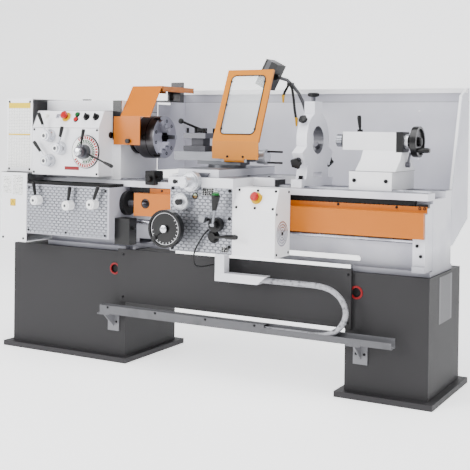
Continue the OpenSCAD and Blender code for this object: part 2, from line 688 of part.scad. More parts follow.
module apron() color([0.78, 0.78, 0.8]) placed() {
    difference() {
        block([apr_x0, apr_y0, apr_z0], [apr_x1, apr_y1, apr_z1]);
        block([apr_x0 + 10, apr_y0 + 10, apr_z0 + 10], [apr_x1 - 10, apr_y1 - 10, apr_z1 - 10]);
    }
    // flat jaws above and below the leadscrew, and the fork of the feed rod's worm
    screw_jaws(lead_z, lead_d / 2 + slip, 14);
    screw_jaws(feed_z, feed_d / 2 + slip, 10);
    // base of the feed lever with the square interlock knob beside it
    bar_y(apr_y0 - 26, apr_y0, stick_x, stick_z, 31);
    bar_y(apr_y0 - 34, apr_y0, 1236, 708, 6);
    translate([1232, apr_y0 - 42, 714]) rotate([0, 20, 0]) cube([26, 24, 26], center = true);
    // black plate, sight glass and the boss of the handwheel
    block([1203, apr_y0 - 2, 806], [1262, apr_y0, 840]);
    bar_y(apr_y0 - 4, apr_y0, 1171, 804, 14);
    bar_y(apr_y0 - 14, apr_y0, wheel_x, wheel_z, 30);
    cable_bracket();
}

// pair of flat jaws on the apron's back, open to the rear
module screw_jaws(z, gap, jaw_t) for (side = [-gap - jaw_t, gap])
    block([cross_x - 50, apr_y1, z + side], [cross_x + 50, lead_y + 22, z + side + jaw_t]);

box_rise = 90;
box_back = 35;
box_lean = atan(box_back / box_rise);
box_stop_x = 1450;
box_stop_z = apr_z1 - 40;
box_stop_y = apr_y0 + (box_rise - 40) * tan(box_lean);
// box beside the apron: front leaning back at the top, fan hole in the right side
module drive_box() color([0.92, 0.92, 0.93]) placed() {
    x1 = apr_x1 + box_w;
    fold_z = apr_z1 - box_rise;
    difference() {
        slab_x(apr_x1, x1, [[apr_y0, apr_z0], [-61, apr_z0], [-61, apr_z1],
            [apr_y0 + box_back, apr_z1], [apr_y0, fold_z]]);
        slab_x(apr_x1 + 4, x1 - 4, [[apr_y0 + 4, apr_z0 + 4], [-65, apr_z0 + 4], [-65, apr_z1 - 4],
            [apr_y0 + box_back + 3, apr_z1 - 4], [apr_y0 + 4, fold_z]]);
        on_front(box_stop_x, box_stop_y, box_stop_z, box_lean)
            translate([0, 0, -30]) cylinder(h = 31, r = stem_r + slip);
        // fan outlet
        for (r = [14 : 11 : 47], a = [0 : 90 : 270])
            translate([x1 - 5, -134, 662]) rotate([a + r, 0, 0]) translate([0, r, 0])
                rotate([0, 90, 0]) cylinder(h = 6, r = 4.4);
    }
    // ring round the stop button
    on_front(box_stop_x, box_stop_y, box_stop_z, box_lean) translate([0, 0, -1]) difference() {
        cylinder(h = 7, r = 24);
        translate([0, 0, -1]) cylinder(h = 9, r = stem_r + slip);
    }
}

// bracket under the apron and the channel that the drag hose runs into, open at its back
module cable_bracket() {
    x0 = cross_x + 40;
    block([x0, tray_y0, loop_z + 14], [x0 + 45, tray_y1, apr_z0]);
    difference() {
        slab_y(tray_y0 - 1, tray_y1 + 1, [[x0, loop_z - 18], [x0 + 205, loop_z - 18], [x0 + 245, loop_z + 18],
            [x0, loop_z + 18]]);
        block([x0 + 4, tray_y0 + 2, loop_z - hose_d / 2 - slip],
            [x0 + 250, tray_y1 + 2, loop_z + hose_d / 2 + slip]);
    }
}

wheel_x = 1079;
wheel_z = apr_z0 + 101;
// solid handwheel with a raised rim, and its shaft
module carriage_wheel() color([0.08, 0.08, 0.08]) placed() {
    difference() {
        bar_y(wheel_y0 + 6, wheel_y0 + 36, wheel_x, wheel_z, wheel_d / 2);
        bar_y(wheel_y0 + 5, wheel_y0 + 12, wheel_x, wheel_z, wheel_d / 2 - 8);
    }
    bar_y(wheel_y0 + 36, apr_y0 - 14 - slip, wheel_x, wheel_z, 24);
    bar_y(wheel_y0, wheel_y0 + 12, wheel_x, wheel_z, 16);
}

// graduated dial with a dark hub, above the handwheel
module feed_dial() color([0.8, 0.8, 0.82]) placed() {
    bar_y(apr_y0 - 30, apr_y0, 1112, 778, 36);
    bar_y(apr_y0 - 52, apr_y0 - 30, 1112, 778, 13);
}

stick_x = 1279;
stick_y = apr_y0 - 42;
stick_z = 690;
// forked boss that swings sideways on the apron and carries the feed lever's pin
module joystick_yoke() color([0.15, 0.15, 0.15]) placed() {
    bar_y(apr_y0 - 31, apr_y0 - 26, stick_x, stick_z, 19);
    for (s = [-1, 1])
        translate([stick_x + 13 * s, stick_y, stick_z]) block([-3.5, -8, -9], [3.5, 12, 9]);
    bar_x(stick_x - 16, stick_x + 16, stick_y, stick_z, 3);
}

// feed lever: tapered stick with a green button
module joystick() color([0.1, 0.1, 0.1]) placed() difference() {
    union() {
        bar_x(stick_x - 9.2, stick_x + 9.2, stick_y, stick_z, 8);
        translate([stick_x, stick_y, stick_z]) rotate([10, 12, 0]) {
            cylinder(h = 92, r = 6);
            translate([0, 0, 62]) cylinder(h = 68, r1 = 9, r2 = 19);
            translate([0, 0, 130]) cylinder(h = 12, r1 = 17, r2 = 11);
        }
    }
    bar_x(stick_x - 10, stick_x + 10, stick_y, stick_z, 3 + run);
}

// half nut lever: hub, arm to the right and its grip
module nut_lever() color([0.1, 0.1, 0.1]) placed() {
    bar_y(apr_y0 - 22, apr_y0, 1262, 638, 17);
    translate([1262, apr_y0 - 14, 638]) rotate([12, 86, 0]) {
        cylinder(h = 96, r = 6);
        translate([0, 0, 72]) grip(62, 11);
    }
}

module apron_stop() color([0.85, 0.1, 0.15]) placed()
    mushroom(box_stop_x, box_stop_y, box_stop_z, box_lean);

module cross_slide() color([0.8, 0.8, 0.82]) placed() difference() {
    block([cross_x - cross_w / 2, cross_y0, sad_z1 + slip],
        [cross_x + cross_w / 2, cross_y0 + cross_l, cross_z1]);
    slab_y(cross_y0 - 1, cross_y0 + cross_l + 1, [
        [cross_x - 45 - slip, sad_z1 - 1], [cross_x + 45 + slip, sad_z1 - 1],
        [cross_x + 57 + slip, sad_z1 + 18 + slip], [cross_x - 57 - slip, sad_z1 + 18 + slip]]);
    // tee slots at the rear of the table
    for (x = [cross_x - 60, cross_x + 46])
        block([x, comp_y + 110, cross_z1 - 8], [x + 14, cross_y0 + cross_l + 1, cross_z1 + 1]);
}

// graduated drum and barrel of the cross feed
module cross_handle() color([0.85, 0.85, 0.87]) placed() {
    bar_y(apr_y0 - 45, apr_y0 - slip, cross_x, dial_z, 34);
    bar_y(apr_y0 - 38, apr_y0 - 12, cross_x, dial_z, 42);
    bar_y(apr_y0 - 96, apr_y0 - 45, cross_x, dial_z, 24);
    bar_y(apr_y0 - 102, apr_y0 - 96, cross_x, dial_z, 20);
}

// swivel base of the top slide, with its dovetail
module compound() color([0.75, 0.75, 0.77]) placed() {
    bar_z(cross_z1, cross_z1 + 12, cross_x, comp_y, 85);
    block([cross_x - 130, comp_y - 44, cross_z1 + 12], [cross_x + 90, comp_y + 44, comp_z1]);
    slab_x(cross_x - 130, cross_x + 90, [[comp_y - 22, comp_z1 - 1], [comp_y + 22, comp_z1 - 1],
        [comp_y + 32, comp_z1 + 14], [comp_y - 32, comp_z1 + 14]]);
}

module top_slide() color([0.78, 0.78, 0.8]) placed() {
    difference() {
        block([top_x0, top_y0, comp_z1 + slip], [top_x1, top_y0 + 100, top_z1]);
        slab_x(top_x0 - 1, top_x1 + 1, [[comp_y - 22 - slip, comp_z1 - 1], [comp_y + 22 + slip, comp_z1 - 1],
            [comp_y + 32 + slip, comp_z1 + 14 + slip], [comp_y - 32 - slip, comp_z1 + 14 + slip]]);
    }
    // pin that the tool turret turns on
    bar_z(top_z1, turret_z1 + 6, turret_x, comp_y, 14);
    // lugs and pin of the chip shield
    for (x = [shield_x0 + 46, shield_x0 + 159])
        block([x, hinge_y - 7, hinge_z - 7], [x + 12, top_y0, hinge_z + 7]);
    bar_x(shield_x0 + 46, shield_x0 + 171, hinge_y, hinge_z, 4);
}

module top_wheel() color([0.82, 0.82, 0.84]) placed() {
    bar_x(top_x1 + slip, top_x1 + 34, comp_y, top_wheel_z, 30);
    bar_x(top_x1 + 34, top_x1 + 44, comp_y, top_wheel_z, 34);
    for (s = [-1, 1]) bar_x(top_x1 + 44, top_x1 + 118, comp_y, top_wheel_z + 24 * s, 4.5);
}

// four-way tool turret with a slot all round, its screws and the clamp lever
module turret() color([0.55, 0.55, 0.57]) placed() {
    h = turret_w / 2;
    difference() {
        block([turret_x - h, comp_y - h, top_z1 + slip], [turret_x + h, comp_y + h, turret_z1]);
        difference() {
            block([turret_x - h - 1, comp_y - h - 1, top_z1 + 25],
                [turret_x + h + 1, comp_y + h + 1, turret_z1 - 24]);
            block([turret_x - h + 26, comp_y - h + 26, top_z1 + 20],
                [turret_x + h - 26, comp_y + h - 26, turret_z1]);
        }
        bar_z(top_z1, turret_z1 + 1, turret_x, comp_y, 14 + run);
    }
    for (i = [-1 : 1], s = [-1, 1]) {
        bar_z(turret_z1, turret_z1 + 22, turret_x + 42 * i, comp_y + (h - 11) * s, 6);
        bar_z(turret_z1 - 24, turret_z1, turret_x + 42 * i, comp_y + (h - 11) * s, 5);
    }
}

// the shield's leaning part is drawn flat and turned about its fold
module leaning() translate([0, 0, shield_fold]) rotate([-shield_lean, 0, 0]) children();

module rounded_window(x0, x1, z0, z1, r) translate([x0, 0, z0]) rotate([90, 0, 0])
    linear_extrude(40, center = true) translate([r, r]) offset(r) square([x1 - x0 - 2 * r, z1 - z0 - 2 * r]);

module chip_shield() color([0.99, 0.8, 0.0]) placed() {
    block([shield_x0, -sheet, shield_z0], [shield_x1, 0, shield_fold + 1]);
    leaning() difference() {
        block([shield_x0, -sheet, 0], [shield_x1, 9, shield_h]);
        block([shield_x0 + sheet, 0, -1], [shield_x1 - sheet, 10, shield_h - sheet]);
        rounded_window(shield_x0 + 30, shield_x1 - 30, 34, shield_h - 30, 22);
    }
    difference() {
        union() {
            bar_x(shield_x0 + 58.5, shield_x0 + 158.5, hinge_y, hinge_z, 7);
            block([shield_x0 + 58.5, -sheet, shield_z0 - 4], [shield_x0 + 158.5, hinge_y, shield_z0]);
        }
        bar_x(shield_x0 + 58, shield_x0 + 159, hinge_y, hinge_z, 4 + run);
    }
}

module shield_window() color([0.8, 0.85, 0.87, 0.4]) placed() leaning()
    block([shield_x0 + 14, 0, 18], [shield_x1 - 14, 4, shield_h - 14]);

// lamp on a bent arm behind the saddle
lamp_y = bed_y1 + 36;
lamp_route = [[1430, sad_z1 + 2], [1434, 940], [1437, 1000], [1437, 1060], [1432, 1120], [1423, 1170], [1407, 1215],
    [1385, 1256], [1357, 1290], [1325, 1318], [1285.65, 1328.8]];
module lamp_arm() color([0.55, 0.55, 0.57]) placed() {
    tube(lamp_route, lamp_y, 8, 12);
    bar_z(sad_z1, sad_z1 + 24, 1430, lamp_y, 15);
    // clip and two segmented coolant hoses with their nozzles
    block([1336, lamp_y - 26, 1288], [1358, lamp_y + 8, 1306]);
    tube([[1343, 1296], [1333, 1280], [1322, 1262], [1316, 1246]], lamp_y - 18, 6, 10);
    tube([[1350, 1296], [1361, 1270], [1368, 1230], [1374, 1180], [1381, 1142]], lamp_y - 18, 6, 10);
    translate([1315, lamp_y - 18, 1212]) cylinder(h = 36, r1 = 4, r2 = 8);
    translate([1384, lamp_y - 18, 1104]) cylinder(h = 40, r1 = 4, r2 = 8);
}

// box lamp head, leaning, on the end of the arm
module lamp_head() color([0.2, 0.2, 0.2]) placed() translate([1240, lamp_y, 1343]) rotate([0, 27, 0]) {
    difference() {
        block([-34, -44, -64], [32, 44, 64]);
        block([-35, -38, -58], [-22, 38, 58]);
    }
    translate([32, 13, 5]) rotate([90, 0, 0]) cylinder(h = 26, r = 15);
}

// ---------------------------------------------------------------- steady rest and tailstock

// places a shape drawn for the top jaw of the steady rest at an angle round the spindle line
module at_steady(angle) translate([0, spindle_y, spindle_z]) rotate([angle, 0, 0])
    translate([0, -spindle_y, -spindle_z]) children();

module steady_rest() color([0.88, 0.88, 0.9]) placed() {
    difference() {
        union() {
            bar_x(stead_x0, stead_x1, spindle_y, spindle_z, stead_r);
            block([stead_x0, spindle_y - 40, spindle_z], [stead_x1, spindle_y + 40, spindle_z + stead_r + 48]);
            for (a = [120, -120]) at_steady(a)
                block([stead_x0, spindle_y - 34, spindle_z],
                    [stead_x1, spindle_y + 34, spindle_z + stead_r + 48]);
            slab_x(stead_x0, stead_x1, [[bed_y0 + 35, bed_top + slip], [bed_y1 - 35, bed_top + slip],
                [spindle_y + 92, spindle_z - 70], [spindle_y - 92, spindle_z - 70]]);
            block([stead_x0, bed_y0, bed_top + slip], [stead_x1, bed_y1, bed_top + 34]);
        }
        bar_x(stead_x0 - 1, stead_x1 + 1, spindle_y, spindle_z, steady_d / 2);
        vee(stead_x0 - 1, stead_x1 + 1, slip);
        block([stead_x0 - 1, spindle_y - 45, bed_top + 40], [stead_x1 + 1, spindle_y + 45, bed_top + 62]);
        for (a = [0, 120, -120]) at_steady(a)
            bar_z(spindle_z + steady_d / 2 - 20, spindle_z + stead_r + 49, stead_x, spindle_y, finger_r + run);
    }
    // clamp knob of the hinged upper half
    at_steady(50) {
        bar_z(spindle_z + stead_r - 4, spindle_z + stead_r + 12, stead_x, spindle_y, 8);
        bar_z(spindle_z + stead_r + 12, spindle_z + stead_r + 26, stead_x, spindle_y, 17);
    }
}

// finger of the steady rest with its screw and knob
module steady_jaw(a) color([0.12, 0.12, 0.12]) placed() at_steady(a) {
    bar_z(spindle_z + 36, spindle_z + stead_r + 46, stead_x, spindle_y, finger_r);
    bar_z(spindle_z + stead_r + 46, spindle_z + knob_r - 4, stead_x, spindle_y, 9);
    bar_z(spindle_z + knob_r - 4, spindle_z + knob_r + 10, stead_x, spindle_y, 21);
}
module steady_jaw_1() steady_jaw(0);
module steady_jaw_2() steady_jaw(120);
module steady_jaw_3() steady_jaw(-120);

module tailstock() color([0.92, 0.92, 0.93]) placed() difference() {
    union() {
        y0 = spindle_y - 141;
        y1 = spindle_y + 141;
        block([tail_x0, y0, bed_top + slip], [tail_x1, y1, bed_top + 78]);
        slab_x(tail_x0 + 20, tail_x1 + 8, [[y0 + 14, bed_top + 77], [y1 - 14, bed_top + 77],
            [spindle_y + 66, bed_top + 122], [spindle_y + 32, spindle_z - 30],
            [spindle_y - 32, spindle_z - 30], [spindle_y - 66, bed_top + 122]]);
        block([barrel_x0, spindle_y - 38, spindle_z - 38], [barrel_x1, spindle_y + 38, spindle_z + 38]);
        block([barrel_x1, spindle_y - 40, spindle_z - 40], [barrel_x1 + 30, spindle_y + 40, spindle_z + 40]);
    }
    bar_x(barrel_x0 - 1, barrel_x1 + 31, spindle_y, spindle_z, quill_d / 2 + run);
    vee(tail_x0 - 1, tail_x1 + 1, slip);
}

// lever that clamps the quill, on the barrel's top
module quill_lock() color([0.12, 0.12, 0.12]) placed() {
    bar_z(spindle_z + 38, spindle_z + 48, tail_x0 - 10, spindle_y, 12);
    translate([tail_x0 - 10, spindle_y, spindle_z + 45]) rotate([0, -5, 0]) {
        cylinder(h = 20, r = 5);
        translate([0, 0, 12]) grip(50, 9);
    }
}

// lever that clamps the tailstock to the bed
module bed_clamp() color([0.6, 0.6, 0.62]) placed() {
    bar_x(tail_x1 + 8, tail_x1 + 24, spindle_y + 8, bed_top + 104, 11);
    translate([tail_x1 + 16, spindle_y + 8, bed_top + 104]) rotate([0, 12, 0]) cylinder(h = 52, r = 5);
}

// hollow quill with its taper socket
module quill() color([0.8, 0.8, 0.82]) placed() difference() {
    bar_x(quill_x0, barrel_x1 - 10, spindle_y, spindle_z, quill_d / 2);
    bar_x(quill_x0 - 1, quill_x0 + 90, spindle_y, spindle_z, 13);
}

// handwheel with its dial and crank handle
module tail_wheel() color([0.08, 0.08, 0.08]) placed() {
    bar_x(barrel_x1 + 22, barrel_x1 + 31, spindle_y, spindle_z, quill_d / 2 - run);
    bar_x(barrel_x1 + 30 + slip, barrel_x1 + 46, spindle_y, spindle_z, 29);
    bar_x(barrel_x1 + 30, tail_wheel_x + 26, spindle_y, spindle_z, 20);
    difference() {
        bar_x(tail_wheel_x, tail_wheel_x + 26, spindle_y, spindle_z, tail_wheel_d / 2);
        bar_x(tail_wheel_x + 18, tail_wheel_x + 27, spindle_y, spindle_z, tail_wheel_d / 2 - 10);
    }
    bar_x(tail_wheel_x + 17, tail_wheel_x + 78, spindle_y - 36, spindle_z - 34, 8.5);
}

// ---------------------------------------------------------------- drawing

pedestal_left();
pedestal_right();
bed();
cable_trough();
conduit();
headstock();
end_cover();
gearbox();
splash_guard();
spindle();
chuck();
chuck_jaw_1();
chuck_jaw_2();
chuck_jaw_3();
chuck_guard();
speed_lever_a();
speed_lever_b();
head_lever_1();
head_lever_2();
head_lever_3();
head_stop();
start_button();
stop_button();
selector_1();
selector_2();
gear_lever_1();
gear_lever_2();
gear_lever_3();
leadscrew();
feed_rod();
cover_right();
cover_left();
saddle();
apron();
drive_box();
carriage_wheel();
feed_dial();
joystick_yoke();
joystick();
nut_lever();
apron_stop();
cross_slide();
cross_handle();
compound();
top_slide();
top_wheel();
turret();
chip_shield();
shield_window();
steady_rest();
steady_jaw_1();
steady_jaw_2();
steady_jaw_3();
tailstock();
quill();
tail_wheel();
quill_lock();
bed_clamp();
lamp_arm();
lamp_head();
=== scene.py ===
import math

import bpy
import numpy as np
from mathutils import Matrix


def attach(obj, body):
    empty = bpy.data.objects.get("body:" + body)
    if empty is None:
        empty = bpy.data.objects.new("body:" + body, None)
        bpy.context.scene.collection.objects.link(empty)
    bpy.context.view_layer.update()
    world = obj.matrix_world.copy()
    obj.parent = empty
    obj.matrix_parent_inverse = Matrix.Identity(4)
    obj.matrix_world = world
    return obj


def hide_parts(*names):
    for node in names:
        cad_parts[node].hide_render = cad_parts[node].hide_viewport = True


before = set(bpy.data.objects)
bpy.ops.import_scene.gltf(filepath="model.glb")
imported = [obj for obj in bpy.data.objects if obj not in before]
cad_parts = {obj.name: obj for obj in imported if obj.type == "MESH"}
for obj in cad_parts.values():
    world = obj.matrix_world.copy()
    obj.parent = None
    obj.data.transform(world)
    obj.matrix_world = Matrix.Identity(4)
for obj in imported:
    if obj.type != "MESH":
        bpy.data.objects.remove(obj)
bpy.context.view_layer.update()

# Standing place of the viewer: to the right of the machine and a little above the ways,
# looking at it level, with the lens shifted down to where the machine stands.
look_yaw, look_pitch, look_roll = 0.5023, 0.0122, 0.0132
ahead = np.array([-math.sin(look_yaw) * math.cos(look_pitch), math.cos(look_yaw) * math.cos(look_pitch),
                  -math.sin(look_pitch)])
level = np.array([math.cos(look_yaw), math.sin(look_yaw), 0.0])
over = np.cross(level, ahead)
side = level * math.cos(look_roll) + over * math.sin(look_roll)
top = -level * math.sin(look_roll) + over * math.cos(look_roll)
lens = bpy.data.cameras.new("viewer")
lens.lens, lens.sensor_width, lens.shift_y = 73.17, 36.0, -0.2
lens.clip_start, lens.clip_end = 0.05, 60.0
viewer = bpy.data.objects.new("viewer", lens)
bpy.context.scene.collection.objects.link(viewer)
stand = (2.1875, -3.7805, 1.0865)
viewer.matrix_world = Matrix([[side[i], top[i], -ahead[i], stand[i]] for i in range(3)] + [[0, 0, 0, 1]])
bpy.context.scene.camera = viewer
forward, rightward, upward = (0, -1, 0), (1, 0, 0), (0, 0, 1)


# Drag hose: grey ribbed conduit for the carriage's motor leads, 25 mm across. It lies in the
# trough, turns over in one loop and runs back into the channel under the apron.
def at(x, y, z):
    """A station on the machine, in millimetres from the left pedestal, as a point in metres."""
    return np.array([(x - 1062.5) / 1000.0, (y - 132.5) / 1000.0, z / 1000.0])


def skin(name, rings, body, finish, hollow=False):
    """A closed surface through a stack of closed rings, with a fan at each end, or with the last
    ring joined to the first round a hole. rings is (m, n, 3); the faces are turned over if the
    volume they hold comes out negative."""
    m, n, _ = rings.shape
    points = rings.reshape(-1, 3)
    i, k = np.meshgrid(np.arange(m if hollow else m - 1), np.arange(n), indexing="ij")
    a, b, c, d = i * n + k, i * n + (k + 1) % n, (i + 1) % m * n + (k + 1) % n, (i + 1) % m * n + k
    quads = np.stack([a, b, c, d], -1).reshape(-1, 4)
    start = end = np.zeros((0, 3), int)
    if not hollow:
        points = np.concatenate([points, rings[0].mean(0)[None], rings[-1].mean(0)[None]])
        k = np.arange(n)
        start = np.stack([np.full(n, m * n), (k + 1) % n, k], -1)
        end = np.stack([np.full(n, m * n + 1), (m - 1) * n + k, (m - 1) * n + (k + 1) % n], -1)
    tris = np.concatenate([quads[:, [0, 1, 2]], quads[:, [0, 2, 3]], start, end])
    p = points[tris]
    if np.einsum("ij,ij->i", p[:, 0], np.cross(p[:, 1], p[:, 2])).sum() < 0:
        quads, start, end = quads[:, ::-1], start[:, ::-1], end[:, ::-1]
    mesh = bpy.data.meshes.new(name)
    mesh.from_pydata(points.tolist(), [], quads.tolist() + start.tolist() + end.tolist())
    mesh.polygons.foreach_set("use_smooth", np.ones(len(mesh.polygons), bool))
    mesh.set_sharp_from_angle(angle=math.radians(35))
    mesh.materials.append(finish.made)
    piece = bpy.data.objects.new(name, mesh)
    bpy.context.scene.collection.objects.link(piece)
    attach(piece, body)
    return piece


def tube(name, path, radius, body, finish, sides=16):
    """A round tube: at each point of the path, a circle square to the path's direction.
    radius is one number, or one for each point. The path lies near one upright plane."""
    path = np.asarray(path, float)
    way = np.gradient(path, axis=0)
    way /= np.linalg.norm(way, axis=1)[:, None]
    first = np.cross(way, np.array([0.0, 1.0, 0.0]))
    flat = np.linalg.norm(first, axis=1) < 0.2
    first[flat] = np.cross(way[flat], np.array([1.0, 0.0, 0.0]))
    first /= np.linalg.norm(first, axis=1)[:, None]
    second = np.cross(way, first)
    turn = np.linspace(0, 2 * np.pi, sides, endpoint=False)[None, :, None]
    radius = np.broadcast_to(np.asarray(radius, float), (len(path),))[:, None, None]
    rings = path[:, None] + radius * (np.cos(turn) * first[:, None] + np.sin(turn) * second[:, None])
    return skin(name, rings, body, finish)


def eased(points, step):
    """A smooth line through the points: Catmull-Rom pieces, then even steps along their length."""
    p = np.asarray(points, float)
    p = np.concatenate([[2 * p[0] - p[1]], p, [2 * p[-1] - p[-2]]])
    t = np.linspace(0, 1, 24, endpoint=False)[None, :, None]
    a, b, c, d = p[:-3, None], p[1:-2, None], p[2:-1, None], p[3:, None]
    bend, twist = 2 * a - 5 * b + 4 * c - d, 3 * b - a - 3 * c + d
    line = 0.5 * (2 * b + (c - a) * t + bend * t ** 2 + twist * t ** 3)
    line = np.concatenate([line.reshape(-1, 3), p[-2][None]])
    run = np.concatenate([[0], np.cumsum(np.linalg.norm(np.diff(line, axis=0), axis=1))])
    even = np.linspace(0, run[-1], max(2, int(run[-1] / step)))
    return np.stack([np.interp(even, run, line[:, i]) for i in range(3)], 1)


class Term:
    """One value in a finish, so that a pattern reads as the sum it is."""

    def __init__(self, tree, socket):
        self.tree, self.socket = tree, socket

    def do(self, kind, *others):
        node = self.tree.nodes.new("ShaderNodeMath")
        node.operation = kind
        for slot, value in zip(node.inputs, (self,) + others):
            if isinstance(value, Term):
                self.tree.links.new(value.socket, slot)
            else:
                slot.default_value = value
        return Term(self.tree, node.outputs[0])

    def __add__(self, other): return self.do("ADD", other)
    def __sub__(self, other): return self.do("SUBTRACT", other)
    def __mul__(self, other): return self.do("MULTIPLY", other)
    __radd__, __rmul__ = __add__, __mul__
    def __rsub__(self, other): return (self * -1.0) + other
    def over(self, edge, soft=0.0002):
        """1 where the value is over the edge and 0 under it, with a soft step between."""
        return ((self - edge) * (1.0 / soft) + 0.5).do("MINIMUM", 1.0).do("MAXIMUM", 0.0)
    def under(self, edge, soft=0.0002): return 1.0 - self.over(edge, soft)
    def between(self, low, high, soft=0.0002): return self.over(low, soft) * self.under(high, soft)


def paint(red, green, blue):
    """A colour as it is to be seen in this room's light, 0-255, as what the surface sends back."""
    seen = (0, 25, 50, 80, 100, 128, 150, 170, 190, 204, 215, 225, 255)
    sent = (0, 0.003, 0.008, 0.02, 0.034, 0.072, 0.124, 0.2, 0.33, 0.5, 0.66, 0.78, 0.93)
    return tuple(float(v) for v in np.interp((red, green, blue), seen, sent)) + (1.0,)


class Finish:
    """A finish being mixed: one shader, the place on the machine, and what is laid over its colour."""

    def __init__(self, name, colour, rough=0.5, metal=0.0, coat=0.0):
        self.made = bpy.data.materials.new(name)
        self.made.use_nodes = True
        self.tree = self.made.node_tree
        self.shader = self.tree.nodes["Principled BSDF"]
        self.shader.inputs["Base Color"].default_value = colour
        self.shader.inputs["Roughness"].default_value = rough
        self.shader.inputs["Metallic"].default_value = metal
        self.shader.inputs["Coat Weight"].default_value = coat * 0.4
        self.shader.inputs["Specular IOR Level"].default_value = 0.3
        self.shader.inputs["Coat Roughness"].default_value = 0.12
        self.made.diffuse_color = colour
        self.colour, self.rough, self.metal = colour, rough, metal
        self.where = self.tree.nodes.new("ShaderNodeTexCoord").outputs["Object"]
        parts = self.tree.nodes.new("ShaderNodeSeparateXYZ")
        self.tree.links.new(self.where, parts.inputs[0])
        self.x, self.y, self.z = (Term(self.tree, s) for s in parts.outputs)

    def clouds(self, scale, detail=3.0, stretch=(1, 1, 1)):
        """Soft noise over the place, about 0.5, with so many lumps to the metre."""
        spread = self.tree.nodes.new("ShaderNodeMapping")
        spread.inputs["Scale"].default_value = stretch
        self.tree.links.new(self.where, spread.inputs[0])
        noise = self.tree.nodes.new("ShaderNodeTexNoise")
        noise.inputs["Scale"].default_value = scale
        noise.inputs["Detail"].default_value = detail
        self.tree.links.new(spread.outputs[0], noise.inputs["Vector"])
        return Term(self.tree, noise.outputs[0])

    def away(self, u, v, centre_u, centre_v):
        """Distance from an axis that runs square to the two directions u and v."""
        du, dv = u - centre_u, v - centre_v
        return (du * du + dv * dv).do("SQRT")

    def lay(self, mask, colour=None, rough=None, metal=None):
        """Lays another colour, roughness or metal over the finish where the mask is 1."""
        if colour is not None:
            mix = self.tree.nodes.new("ShaderNodeMix")
            mix.data_type = "RGBA"
            self.tree.links.new(mask.socket, mix.inputs[0])
            for slot, value in ((mix.inputs[6], self.colour), (mix.inputs[7], colour)):
                if isinstance(value, tuple):
                    slot.default_value = value
                else:
                    self.tree.links.new(value, slot)
            self.colour = mix.outputs[2]
            self.tree.links.new(self.colour, self.shader.inputs["Base Color"])
        for key, slot, value in (("rough", "Roughness", rough), ("metal", "Metallic", metal)):
            if value is not None:
                now = getattr(self, key)
                new = mask * (value - now) + now
                setattr(self, key, new)
                self.tree.links.new(new.socket, self.shader.inputs[slot])
        return self

    def raised(self, height, depth):
        """Bump from a height term, with its depth in metres."""
        bump = self.tree.nodes.new("ShaderNodeBump")
        bump.inputs["Distance"].default_value = depth
        self.tree.links.new(height.socket, bump.inputs["Height"])
        self.tree.links.new(bump.outputs[0], self.shader.inputs["Normal"])
        return self

    def grain(self, lumps, depth, detail=3.0, stretch=(1, 1, 1)):
        """A fine grain in the surface, with so many lumps to the metre."""
        return self.raised(self.clouds(lumps, detail, stretch), depth)


hose_grey = Finish("hose_grey", paint(196, 196, 198), 0.55)
hose_grey.lay(hose_grey.clouds(60, 4).over(0.62, 0.2), paint(150, 150, 152), 0.7)
low_z, high_z = 248.0, 452.0
hose_route = [(1370, low_z), (1410, low_z), (1450, low_z), (1500, low_z), (1550, low_z), (1600, low_z),
              (1650, low_z), (1685, low_z + 1), (1712, low_z + 5), (1738, low_z + 14), (1762, low_z + 28),
              (1782, low_z + 48), (1796, low_z + 73), (1802, low_z + 102), (1796, low_z + 131),
              (1782, low_z + 156), (1762, low_z + 176), (1738, low_z + 190), (1712, low_z + 198),
              (1685, high_z - 2), (1650, high_z), (1600, high_z), (1550, high_z), (1500, high_z),
              (1450, high_z), (1400, high_z), (1340, high_z)]
hose_line = eased([at(x, -67.5, z) for x, z in hose_route], 0.0011)
rib = np.cos(np.arange(len(hose_line)) * 2 * np.pi / 5.0)
hose = tube("drag_hose", hose_line, 0.0113 + 0.0012 * rib, "carriage", hose_grey)
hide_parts("conduit")


# Floor: one pale sheet under the machine that turns up far behind it, faintly lit from behind, and
# soft studio light from a wide overhead panel, a panel at the left front and a weak one at the right.
floor_grey = Finish("floor_grey", paint(246, 246, 247), 0.6)
floor_grey.shader.inputs["Emission Color"].default_value = (1.0, 1.0, 1.0, 1.0)
floor_grey.shader.inputs["Emission Strength"].default_value = 1.3
floor = bpy.data.meshes.new("floor")
upturn = [(7 + 2 * math.sin(t), 2 - 2 * math.cos(t)) for t in np.linspace(0.1, 1.57, 14)]
sweep = [(-12, 0), (7, 0)] + upturn + [(9, 7)]
edge = [(x, y, z) for y, z in sweep for x in (-16, 16)]
floor.from_pydata(edge, [], [(2 * i, 2 * i + 1, 2 * i + 3, 2 * i + 2) for i in range(len(sweep) - 1)])
floor.polygons.foreach_set("use_smooth", np.ones(len(floor.polygons), bool))
floor.materials.append(floor_grey.made)
floor_piece = bpy.data.objects.new("floor", floor)
bpy.context.scene.collection.objects.link(floor_piece)
for name, place, target, width, power in (
        ("overhead", (0.5, -1.2, 4.6), (0, 0.1, 0.8), 4.5, 360),
        ("left_front", (-3.2, -4.6, 2.6), (-0.2, 0, 0.7), 3.0, 340),
        ("right_front", (4.6, -3.0, 1.9), (0.4, 0, 0.7), 2.6, 45)):
    lamp = bpy.data.lights.new(name, "AREA")
    lamp.size, lamp.energy = width, power
    panel_lamp = bpy.data.objects.new(name, lamp)
    bpy.context.scene.collection.objects.link(panel_lamp)
    back = np.array(place) - np.array(target)
    back /= np.linalg.norm(back)
    across = np.cross([0, 0, 1.0], back)
    across /= np.linalg.norm(across)
    up = np.cross(back, across)
    rows = [[across[i], up[i], back[i], place[i]] for i in range(3)]
    panel_lamp.matrix_world = Matrix(rows + [[0, 0, 0, 1]])
room = bpy.data.worlds.new("room")
bpy.context.scene.world = room
room.use_nodes = True
